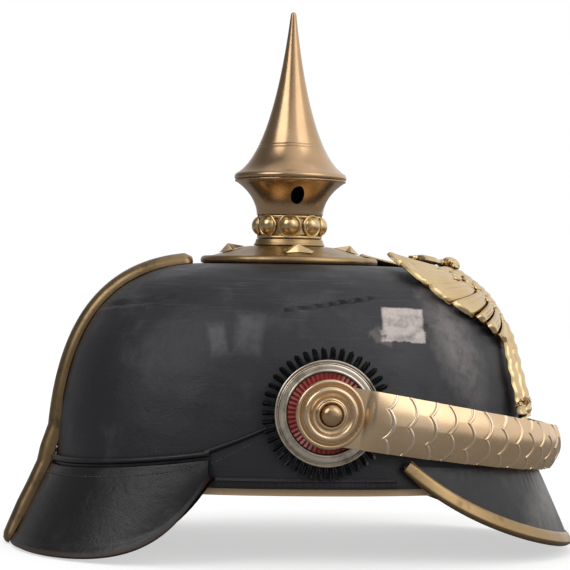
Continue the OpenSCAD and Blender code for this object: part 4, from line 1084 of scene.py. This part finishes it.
TEETH, TOOTH_R, TOOTH_ROOT = 42, 28.3, 27.3
FOLD_PAINT = {"right": (red_lacquer, "helmet", "red_paint"), "left": (black_lacquer, "helmet", "black_paint")}
for side in SIDES:
    disc = pleated("cockade", 4 * TEETH, [18.0, 20.0, 22.3, 23.6, TOOTH_ROOT], 1.2, COCKADE_Y + 0.05, 0.25, 4)
    # The teeth: between them a narrow gap is cut in, and each ridge ends in a blunt point
    for far, cut in ((TOOTH_ROOT, 23.2), (23.6, 22.7)):
        choose(disc, lambda co: spoke(co, 4 * TEETH) % 4 == 2 and abs(co.xy.length - far) < 0.6)
        scale_round(cut / far, COCKADE_Y)
    choose(disc, lambda co: spoke(co, 4 * TEETH) % 4 == 0 and co.xy.length > 27)
    scale_round(TOOTH_R / TOOTH_ROOT, COCKADE_Y)
    bpy.ops.transform.translate(value=(0, 0, -0.5 * MM))
    finish_side(disc, side, "pleated_cockade", "outer_cockade", black_lacquer, "helmet", "black_paint", 20)
    folded = pleated("folds", 100, [5.2, 10, 14, 17.0], 0.6, COCKADE_Y + 0.1, 0.5)
    finish_side(folded, side, "folded_disc", "inner_cockade", *FOLD_PAINT[side], 20)

# %% Profiles of ring, rosette, post and washer: the radius and height of each point
RING_Y, ROSETTE_Y = COCKADE_Y + 0.85, 93.9
RING_PROFILE = [
    (17.4, 0.3), (17.4, 0.9), (17.7, 1.2), (18.1, 1.25), (18.4, 1.05), (18.7, 0.95), (19.6, 1.1), (20.5, 0.95),
    (20.7, 0.8), (20.9, 1.0), (21.1, 1.1), (21.3, 1.0), (21.5, 0.75), (21.7, 0.9), (21.95, 1.2), (22.25, 1.2),
    (22.5, 1.0), (22.6, 0.6), (22.6, 0.3), (17.4, 0.3)]
ROSETTE_PROFILE = [
    (3.05, 0), (13.6, 0), (14.4, 0.4), (14.7, 1.1), (14.6, 1.9), (14.2, 2.45), (13.6, 2.65), (13.1, 2.5),
    (12.75, 2.15), (12.45, 2.0), (12.15, 2.2), (11.9, 2.9), (11.6, 3.7), (11.1, 4.35), (10.4, 4.65), (9.7, 4.6),
    (9.1, 4.25), (8.4, 3.7), (7.7, 3.25), (7.0, 3.05), (6.5, 3.1), (6.3, 3.5), (6.2, 4.3), (5.95, 4.95), (5.5, 5.2),
    (5.05, 5.0), (4.8, 4.55), (4.5, 4.3), (3.05, 4.3), (3.05, 0)]
WASHER_T, NUT_T, NUT_ROOM = 1, 3, 2
WALL_Y = float(on_skull(90, 0.19, 0)[1])
NUT_Y = WALL_Y - SKULL_T - WASHER_T - NUT_T - NUT_ROOM
POST_PROFILE = [
    (0, NUT_Y - 1), (3, NUT_Y - 1), (3, WALL_Y + 0.9), (4.8, WALL_Y + 1.2), (4.8, 91.05), (3, 91.05), (3, 98.45),
    (3.9, 98.5), (4.35, 99.1), (4.4, 99.8), (4.2, 100.6), (3.7, 101.3), (2.9, 101.9), (1.9, 102.25), (0.9, 102.38),
    (0, 102.4)]
WASHER_PROFILE = [
    (3.1, NUT_Y + 3.15), (8.7, NUT_Y + 3.15), (9, NUT_Y + 3.4), (9, NUT_Y + 3.9), (8.7, NUT_Y + 4.15),
    (3.1, NUT_Y + 4.15), (3.1, NUT_Y + 3.15)]
print("leather's outer face beside the post, in mm:", round(WALL_Y, 1))

# %% Spin them: the post goes through the leather, with a domed head outside and the washer inside
for side in SIDES:
    silver_ring = turned("silver_ring", [(r, RING_Y + h) for r, h in RING_PROFILE])
    finish_side(silver_ring, side, "silver_ring_cast", "silver_ring", silver, "helmet", "silver")
    rosette = turned("rosette", [(r, ROSETTE_Y + h) for r, h in ROSETTE_PROFILE])
    finish_side(rosette, side, "rosette_tombak", "rosette", pale_tombak, "chin_scales", "tombak", 60)
    post = turned("post", POST_PROFILE, 64)
    finish_side(post, side, "post_tombak", "post", tombak, "helmet", "brass", 50)
    washer = turned("washer", WASHER_PROFILE, 64)
    finish_side(washer, side, "washer_leather", "washer", black_leather, "helmet", "black_leather")

# %% [markdown]
# ## The chin scales
# Fifteen thin brass scales a side are threaded on a leather strap. They grow narrower towards the front, each one
# overlaps the next, and their free ends are cut in two round lobes and three round lobes in turn.
# The raised line along each free end is pressed in, so it is part of the sheet's shape here too.

# %% The hoop that the scales follow
DROOP = math.radians(8.8)
STRAP_Y, STRAP_T = 91.2, 1.4
HOOP_REACH, HOOP_POWER = 115.4, 2.15
BAND_WIDE, BAND_NARROW = 25.8, 17.8


def hoop_plan(a):
    c, s = ray(a)
    r = ((abs(c) / HOOP_REACH) ** HOOP_POWER + (abs(s) / STRAP_Y) ** HOOP_POWER) ** (-1 / HOOP_POWER)
    return r[..., None] * np.stack([c, s], -1)


HOOP_A = np.linspace(90, -40, 400)
HOOP_WAY = lengths(hoop_plan(HOOP_A))
HOOP_LEN = float(np.interp(0, -HOOP_A, HOOP_WAY))


def on_hoop(s, w, off, side):
    """s is the length along the hoop from the rosette, w the height across it, off the distance outward."""
    a = np.interp(s, HOOP_WAY, HOOP_A)
    p, d = hoop_plan(a), hoop_plan(a + 0.3) - hoop_plan(a - 0.3)
    q = p + scaled_to_one(np.stack([d[..., 1], -d[..., 0]], -1)) * np.asarray(off)[..., None]
    x = q[..., 0] * math.cos(DROOP) + w * math.sin(DROOP)
    z = -q[..., 0] * math.sin(DROOP) + w * math.cos(DROOP)
    return np.stack([x + HINGE_X, q[..., 1] * SIDES[side], z + HINGE_Z], -1)


def half_band(s):
    return (BAND_WIDE + (BAND_NARROW - BAND_WIDE) * unit(s / HOOP_LEN)) / 2


print("hoop length in mm:", round(HOOP_LEN, 1))

# %% The form of the scales
SCALES, FIRST_S, LOBE, BULGE, SCALE_LOW, STEP_UP = 15, 23, 4, 3.4, 1.8, 1.2
LAP, SPOON_S = 0.6, 7
PITCH = (HOOP_LEN - FIRST_S - LOBE - LAP) / SCALES


def towards_end(u):
    """Moves a sheet's columns towards its free end, where the raised line needs them."""
    return 1 - (1 - u) ** 1.8


def edge_line(edge):
    """The raised line half a millimetre from the free end, and the small groove behind it."""
    return 0.34 * hump(edge, 0.5, 0.42) - 0.12 * hump(edge, 1.3, 0.4)


def scale_form(i, side):
    def form(u, v, w):
        across, u = 2 * v - 1, towards_end(u)
        wave = abs(np.sin(math.pi * across)) if i % 2 == 0 else abs(np.cos(math.pi * across))
        start, end = FIRST_S + PITCH * i - LAP, FIRST_S + PITCH * (i + 1) + 1 + (LOBE - 1) * wave ** 0.75
        s = start + (end - start) * u
        dome = 0.35 * u ** 3 * wave ** 1.2
        off = SCALE_LOW + STEP_UP * u + BULGE * (1 - across ** 2) + edge_line(end - s) + dome
        return on_hoop(s, across * half_band(start + (s - start) * 0.5), off + w, side)
    return form


def spoon_form(side):
    """The first sheet: flat under the rosette, it rises to the bulge of the scales."""
    def form(u, v, w):
        across, u = 2 * v - 1, towards_end(u)
        wave = abs(np.cos(math.pi * across)) ** 0.75
        end = FIRST_S + 1 + (LOBE - 1) * wave
        s = SPOON_S + (end - SPOON_S) * u - across ** 2 * 1.5 * (1 - u)
        up = np.interp(s, [SPOON_S, 15, 18.5, FIRST_S + LOBE], [0, 0.05, 0.6, 1])
        off = SCALE_LOW + STEP_UP * up + BULGE * (1 - across ** 2) * up + edge_line(end - s) * up
        return on_hoop(s, across * half_band(s), off + w, side)
    return form


print("pitch of the scales in mm:", round(PITCH, 2))

# %% Press the scales
for side in SIDES:
    boss = turned("boss", [(3.05, 92.75), (12.1, 92.75), (12.4, 93.0), (12.4, 93.5), (12.1, 93.75), (3.05, 93.75),
                           (3.05, 92.75)], steps=64)
    parts = [lay_over(boss, side), sheet("spoon", 40, 48, spoon_form(side), 0.6, side=1)]
    parts += [sheet("scale", 26, 48, scale_form(i, side), 0.5, side=1) for i in range(SCALES)]
    finish(join(parts, f"{side}_scales_tombak"), pale_tombak, "chin_scales", "tombak", f"{side}_scales", angle=50)


# %% Straps behind the scales: the right one runs past the middle into the buckle, where the left one ends
STRAP_START, STRAP_HALF = 6, 7
STRAP_ENDS = {"right": (HOOP_LEN + 34, HOOP_LEN + 20), "left": (HOOP_LEN - 44, HOOP_LEN - 45)}


def strap_form(side, end, taper):
    def form(u, v, w):
        s = STRAP_START + (end - STRAP_START) * u
        half = STRAP_HALF * unit(1 - unit((s - taper) / (end - taper)) ** 2 * 0.75)
        return on_hoop(s, (2 * v - 1) * half, STRAP_T + w, side)
    return form


for side, (end, taper) in STRAP_ENDS.items():
    eye = turned("eye", [
        (3.1, 91.2), (8.2, 91.2), (8.4, 91.5), (8.4, 92.3), (8.2, 92.6), (3.1, 92.6), (3.1, 91.2)], 64)
    strap = sheet("strap", 140, 12, strap_form(side, end, taper), STRAP_T - 0.1, 0.3)
    finish(join([lay_over(eye, side), strap], f"{side}_strap_leather"), black_leather, "chin_scales", "black_leather",
           f"{side}_strap")

# %% [markdown]
# ## Side seams
# A raised seam climbs from each rear corner of the skull to the cockade, where the rear visor's lining was let in.

# %% Press the seams
SEAM_START, SEAM_END = 132, 105


def seam_form(side):
    def form(u, v, w):
        a, t = SEAM_START + (SEAM_END - SEAM_START) * u, 0.054 + 0.092 * u ** 1.25
        lift = SEAT + 1.3 * (1 - abs(2 * v - 1) ** 2.4) ** 0.8
        points = on_skull(a * side, t, lift + w)
        points[:, 2] += (2 * v - 1) * (1.6 - 0.6 * u)
        return points
    return form


seams = [sheet("seam", 40, 12, seam_form(side), 0.9) for side in (-1, 1)]
finish(join(seams, "side_seams_leather"), black_leather, "helmet", "black_leather", "side_seams")


# %% Stitches below the seams
ROW_START, ROW_END, ROW_DROP = 124, 106.5, 3.4


def side_row(side, lift):
    def line(k):
        points = on_skull(side * (ROW_START + (ROW_END - ROW_START) * k), 0.06 + 0.08 * k ** 1.2, lift + 0 * k)
        points[:, 2] -= ROW_DROP
        return points
    return line


for side in (-1, 1):
    stitches += stitch_row("seam_stitch", side_row(side, 0.1), side_row(side, 1.1), gap_mm=1.9)
finish(join(stitches, "visible_stitches"), linen_thread, "helmet", "black_leather")

# %% [markdown]
# ## The lining
# A tan leather sweatband runs round inside the rim and shows a few millimetres below it. Ten leather tongues rise
# from it and draw together under the crown, so that the helmet rides on them and not on the hard skull.

# %% Sweatband
LINING_LIFT, BAND_TOP = -2.9, 0.2
BAND_BOTTOM_Z = 29.8


def notch(piece):
    """Cuts the lining out round each post's nut."""
    for side in SIDES:
        new_start()
        bpy.ops.mesh.primitive_cylinder_add(vertices=48, radius=10 * MM, depth=40 * MM, rotation=(math.pi / 2, 0, 0),
                                            location=(HINGE_X * MM, SIDES[side] * 80 * MM, HINGE_Z * MM))
        tool = named("notch")
        apply(piece, "BOOLEAN", object=tool, operation="DIFFERENCE", solver="EXACT")
        bpy.data.objects.remove(tool)
    return piece


def band_form(u, v, w):
    """The band follows the skull's inside, and its lowest part hangs straight down below the rim."""
    a, is_low = u * 360, v < 0.08
    points = on_skull(a, BAND_TOP * unit((v - 0.08) / 0.92), LINING_LIFT + w)
    low = rim_point(a) + rim_out(a) * (LINING_LIFT + w)[:, None]
    points[is_low, :2] = low[is_low]
    points[is_low, 2] = BAND_BOTTOM_Z + 3.2 * unit(v / 0.08)[is_low]
    return points


sweatband = press("sweatband_leather", 180, 24, band_form)
tidy_mesh(sweatband, recalculate=False)
notch(thicken(sweatband, 1.5, 0.4))
finish(sweatband, tan_leather, "helmet", "tan_leather", "sweatband")


# %% Tongues: the way up the skull, the distance from its inside in mm, and the share of the full width
TONGUE = np.array([[0.215, 0, 1], [0.3, 0.8, 1], [0.4, 2.4, 1], [0.5, 4.6, 0.95], [0.6, 7.5, 0.85], [0.7, 11, 0.65],
                   [0.78, 14.5, 0.4]])
TONGUES, TONGUE_HALF = 10, 15


def tongue_form(middle):
    def form(u, v, w):
        t = TONGUE[0, 0] + (TONGUE[-1, 0] - TONGUE[0, 0]) * v
        a = middle + (2 * u - 1) * TONGUE_HALF * np.interp(t, TONGUE[:, 0], TONGUE[:, 2])
        return on_skull(a, t, LINING_LIFT - np.interp(t, TONGUE[:, 0], TONGUE[:, 1]) + w)
    return form


tongues = [sheet("tongue", 14, 24, tongue_form(360 / TONGUES * (k + 0.5)), 1.1, 0.3) for k in range(TONGUES)]
finish(notch(join(tongues, "lining_tongues_leather")), tan_leather, "helmet", "tan_leather", "lining_tongues")

# %% [markdown]
# ## The eagle plate
# The gilt eagle was struck from sheet in a die. Its wings are seven long feathers a side with rounded ends,
# and every feather carries a raised rim and fine lines. Each feather is its own small sheet here, pressed so
# that it laps over the next one. The plate is bent less than the skull, so its upper feathers stand clear of it.

# %% Where the feathers lie: direction round the head and way up the profile
WING_ROOTS = np.array([[11, 0.75], [10, 0.71], [9, 0.665], [8, 0.62], [7, 0.575], [6.5, 0.53], [6, 0.49],
                       [5.5, 0.45]])
WING_NOTCHES = np.array([[42, 0.905], [44.5, 0.823], [43.4, 0.652], [40.4, 0.548], [33.6, 0.476], [30, 0.442],
                         [25.8, 0.394], [20.5, 0.345]])
WING_ENDS = np.array([[2.4, 0.02], [4.6, 0.012], [4.4, 0.006], [3.4, 0], [1.8, 0], [2.2, -0.003], [2, 0]])
DOMES = [2.1, 1.7, 2.0, 2.0, 1.9, 1.9, 1.7]
WING_LIFT, FEATHER_LOW = 2.6, 1.75


def wing_place(k, v, u):
    """v runs across feather k from 0 to 1, u along it from the root to the tip."""
    v, u = v[..., None], u[..., None]
    root = WING_ROOTS[k] * (1 - v) + WING_ROOTS[k + 1] * v
    tip = WING_NOTCHES[k] * (1 - v) + WING_NOTCHES[k + 1] * v + WING_ENDS[k] * np.sin(math.pi * v) ** 0.55
    return root * (1 - u) + tip * u


def feather_form(k, side):
    def form(u, v, w):
        # The sheet's rows gather at the feather's two long edges
        v = 0.5 - 0.5 * np.cos(math.pi * unit(v))
        place = wing_place(k, v, u)
        stand = WING_LIFT * unit(1 - (k + v) / 2) * u * u
        dome = (0.5 + 0.5 * u) * DOMES[k] * np.sin(math.pi * v) ** 0.5
        shingle = 1.7 * u * (1 - v)
        round_off = -1.1 * (1 - np.sqrt(1 - (1 - unit((1 - u) / 0.05)) ** 2))
        rim = 0.4 * (hump(v, 0.13, 0.05) + hump(v, 0.87, 0.05)) * unit(u * 2 - 0.4)
        rim = rim + 0.45 * hump(1 - u, 0.06, 0.025) * np.sin(math.pi * v)
        lines = 0.42 * (abs(np.cos(math.pi * 3 * v)) ** 0.8 - 0.6) * unit(u * 3) * unit((1 - u) / 0.12 - 0.6)
        lines = lines * unit((1 - u) / 0.1)
        lift = FEATHER_LOW + stand + dome + shingle + round_off + rim + lines + w
        return on_skull(place[:, 0] * side, place[:, 1], lift)
    return form


print("feathers a side:", len(DOMES))


# %% Places for the eagle's body: told by their distance from the middle line
def upright_place(t, y):
    """The direction round the head of a point at the given distance from the middle line."""
    return np.degrees(np.arcsin(y / skull_face(0 * t, t)[..., 0]))


def plate_gap(t):
    """How far the plate's back stands off the leather, which curves away below it."""
    return 0.7 + 2.2 * unit((0.42 - t) / 0.26) ** 1.2


print("the tail's end stands off the leather by", round(float(plate_gap(0.145)), 1), "mm")

# %% Wings
eagle = []
for side in (-1, 1):
    for k in range(len(DOMES)):
        eagle.append(sheet("feather", 48 if k < 4 else 32, 40, feather_form(k, side), 1.0))
print("feathers:", len(eagle))

# %% Small coverts on the inner wing: one is modelled, the rest are copies
covert = pebble("covert", 16, 10, (3.4, 2.1, 0.9))
one = np.ones(1)
for side in (-1, 1):
    for row, (u, count) in enumerate([(0.1, 8), (0.24, 9), (0.38, 9)]):
        for n in range(count):
            v = 0.25 + 6.6 * (n + 0.5 * (row % 2)) / count
            k, part = int(v), v - int(v)
            (a, t), (a_next, t_next) = (wing_place(k, part * one, q * one)[0] for q in (u, u + 0.05))
            lift = 2.9 + 0.5 * u + 0.35 * (2 - row) * 0.5
            at, above, ahead = (on_skull(*place) for place in (
                (a * side, t, lift), (a * side, t, lift + 1), (a_next * side, t_next, lift)))
            grow = 1.05 - 0.12 * row + 0.3 * (v < 3)
            eagle.append(set_copy(covert, at, above - at, ahead - at, "covert", grow))
bpy.data.objects.remove(covert)
print("feathers and coverts:", len(eagle))


# %% Body and tail
PLATE_T = 0.9


def scallops(across, up, size):
    """Rounded scale feathers in staggered rows, from 0 to 1."""
    row = np.floor(up / size)
    x = across / size + 0.5 * (row % 2)
    x = 2 * (x - np.floor(x)) - 1
    y = up / size - row
    return unit(1 - x * x * (1 - 0.4 * y)) * (0.35 + 0.65 * (1 - y))


# Up the breast: the way up the skull, half the width and the height above the leather in mm
BODY = np.array([[0.36, 6, 3.4], [0.41, 10, 4.4], [0.47, 13, 5], [0.54, 13, 5.2], [0.60, 10, 5], [0.66, 7.5, 5],
                 [0.70, 6.5, 5.4], [0.745, 6, 6], [0.785, 3.5, 6.2]])


def body_form(u, v, w):
    t = BODY[0, 0] + (BODY[-1, 0] - BODY[0, 0]) * u
    half, high = np.interp(t, BODY[:, 0], BODY[:, 1]), np.interp(t, BODY[:, 0], BODY[:, 2])
    across = 2 * v - 1
    lift = plate_gap(t) + PLATE_T + (high - plate_gap(t) - PLATE_T) * (1 - across ** 2) ** 0.8
    lift = lift + 0.7 * scallops(across * half, t * 100, 3.6) * (1 - across ** 4)
    return on_skull(upright_place(t, across * half), t, lift + w)


# The tail spreads downward: the way up the skull and half the width
TAIL = np.array([[0.145, 17.5], [0.17, 17], [0.22, 14.5], [0.28, 11], [0.34, 8], [0.40, 5]])


def tail_form(u, v, w):
    across = 2 * v - 1
    flute = abs(np.cos(3.5 * math.pi * across))
    t = 0.40 - (0.40 - 0.148 + 0.006 * flute) * u
    half = np.interp(t, TAIL[:, 0], TAIL[:, 1])
    lift = plate_gap(t) + PLATE_T + 1.3 * flute ** 0.6 + 0.1 * np.cos(28 * math.pi * across)
    return on_skull(upright_place(t, across * half), t, lift + w)


eagle.append(sheet("body", 100, 40, body_form, 1.0))
eagle.append(sheet("tail", 60, 112, tail_form, PLATE_T))
print("with body and tail:", len(eagle))


# %% Legs, staff and claws
def bar_form(places, side, ribs):
    table = np.array(places)

    def form(u, v, w):
        way = u * (len(places) - 1)
        i = np.clip(np.floor(way).astype(int), 0, len(places) - 2)
        f = (way - i)[:, None]
        here = table[i] * (1 - f) + table[i + 1] * f
        across = 2 * v - 1
        a, t = here[:, 0] + across * here[:, 2] * 0.6, here[:, 1]
        lift = plate_gap(t) + PLATE_T + (here[:, 3] - 0.6) * (1 - across ** 2) ** 0.6
        lift = lift + 0.25 * np.cos(ribs * 2 * math.pi * u)
        return on_skull(a * side, t, lift + w)
    return form


# Degrees round the head, the way up, half the width in degrees and the height in mm
LEG = [[6, 0.46, 4, 3.4], [9.5, 0.39, 4.8, 3.6], [13.5, 0.335, 4.6, 3], [17, 0.27, 4.4, 2.6], [19.5, 0.20, 4.4, 3],
       [20.5, 0.165, 4.8, 3.6], [21, 0.14, 4, 2.4]]
STAFF = [[20.6, 0.4, 2.6, 2.4], [22.6, 0.325, 3.4, 2.8], [24, 0.266, 3.8, 2.6], [24.6, 0.20, 3.8, 2.4],
         [24.8, 0.155, 4, 3], [24.6, 0.135, 3, 2.4]]
FOOT = [[17.4, 0.185, 1.4, 2.6], [20.6, 0.18, 1.8, 4.2], [24.6, 0.178, 1.8, 4.4], [27.6, 0.176, 1.2, 2.4]]
for side in (-1, 1):
    for places, ribs in ((LEG, 9), (STAFF, 7), (FOOT, 3)):
        eagle.append(sheet("bar", 60, 14, bar_form(places, side, ribs), PLATE_T))
print("with legs, staffs and claws:", len(eagle))


# %% Crown: a thin sheet with arches that stands free above the head
EAGLE_CROWN = np.array([[0.765, 6.5], [0.785, 7], [0.80, 7.2], [0.82, 9.2], [0.84, 9.6], [0.855, 8.4], [0.868, 5.2],
                        [0.876, 1.6], [0.884, 2.2], [0.892, 1.2], [0.905, 0.5]])


def crown_form(u, v, w):
    t = EAGLE_CROWN[0, 0] + (EAGLE_CROWN[-1, 0] - EAGLE_CROWN[0, 0]) * u
    half = np.interp(t, EAGLE_CROWN[:, 0], EAGLE_CROWN[:, 1])
    across = 2 * v - 1
    arch = abs(np.cos(2.5 * math.pi * across)) ** 1.5 * unit((t - 0.8) * 60)
    circlet = hump(t, 0.785, 0.008) * (0.6 + 0.4 * abs(np.cos(5 * math.pi * across)))
    lift = 5.0 + 1.6 * (1 - across ** 2) + 0.7 * arch + 0.8 * circlet - 1.2 * unit((t - 0.86) / 0.04)
    return on_skull(upright_place(t, across * half), t, lift + w)


eagle.append(sheet("crown", 60, 40, crown_form, PLATE_T))
print("with the crown:", len(eagle))

# %% Head and beak, turned to the wearer's right
HEAD = (("head", -0.6, 0.748, 6.6, (4.4, 4.2, 3.0)), ("brow", -3.4, 0.758, 7.2, (2.0, 2.6, 1.4)),
        ("beak", -6.2, 0.744, 6.2, (1.7, 3.2, 1.5)), ("hook", -8.4, 0.736, 5.6, (1.9, 1.2, 1.1)))
for name, y, t, lift, size in HEAD:
    lump = pebble(name, 24, 16, size)
    t = np.array([t])
    a = upright_place(t, np.array([y]))
    at, above, ahead = (on_skull(a, *place)[0] for place in ((t, lift), (t, lift + 1), (t + 0.02, lift)))
    eagle.append(set_copy(lump, at, above - at, ahead - at, name))
    bpy.data.objects.remove(lump)
finish(join(eagle, "eagle_plate_gilt"), gilt, "helmet", "gilt", "eagle_plate", angle=40)

# %% [markdown]
# ## Fittings that keep their shape from the CAD
# Nuts, plate posts, backing plate and buckle are plain parts that are hardly seen, so they only get their brass.

# %% Brass for the fittings
KEPT = ("backing_plate", "star_nuts", "plate_posts", "plate_nuts", "right_post_nut", "left_post_nut", "buckle",
        "buckle_prong")
for name in KEPT:
    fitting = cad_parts[name]
    fitting.data.materials.clear()
    fitting.data.materials.append(brass)
print("kept from the CAD:", len(KEPT))
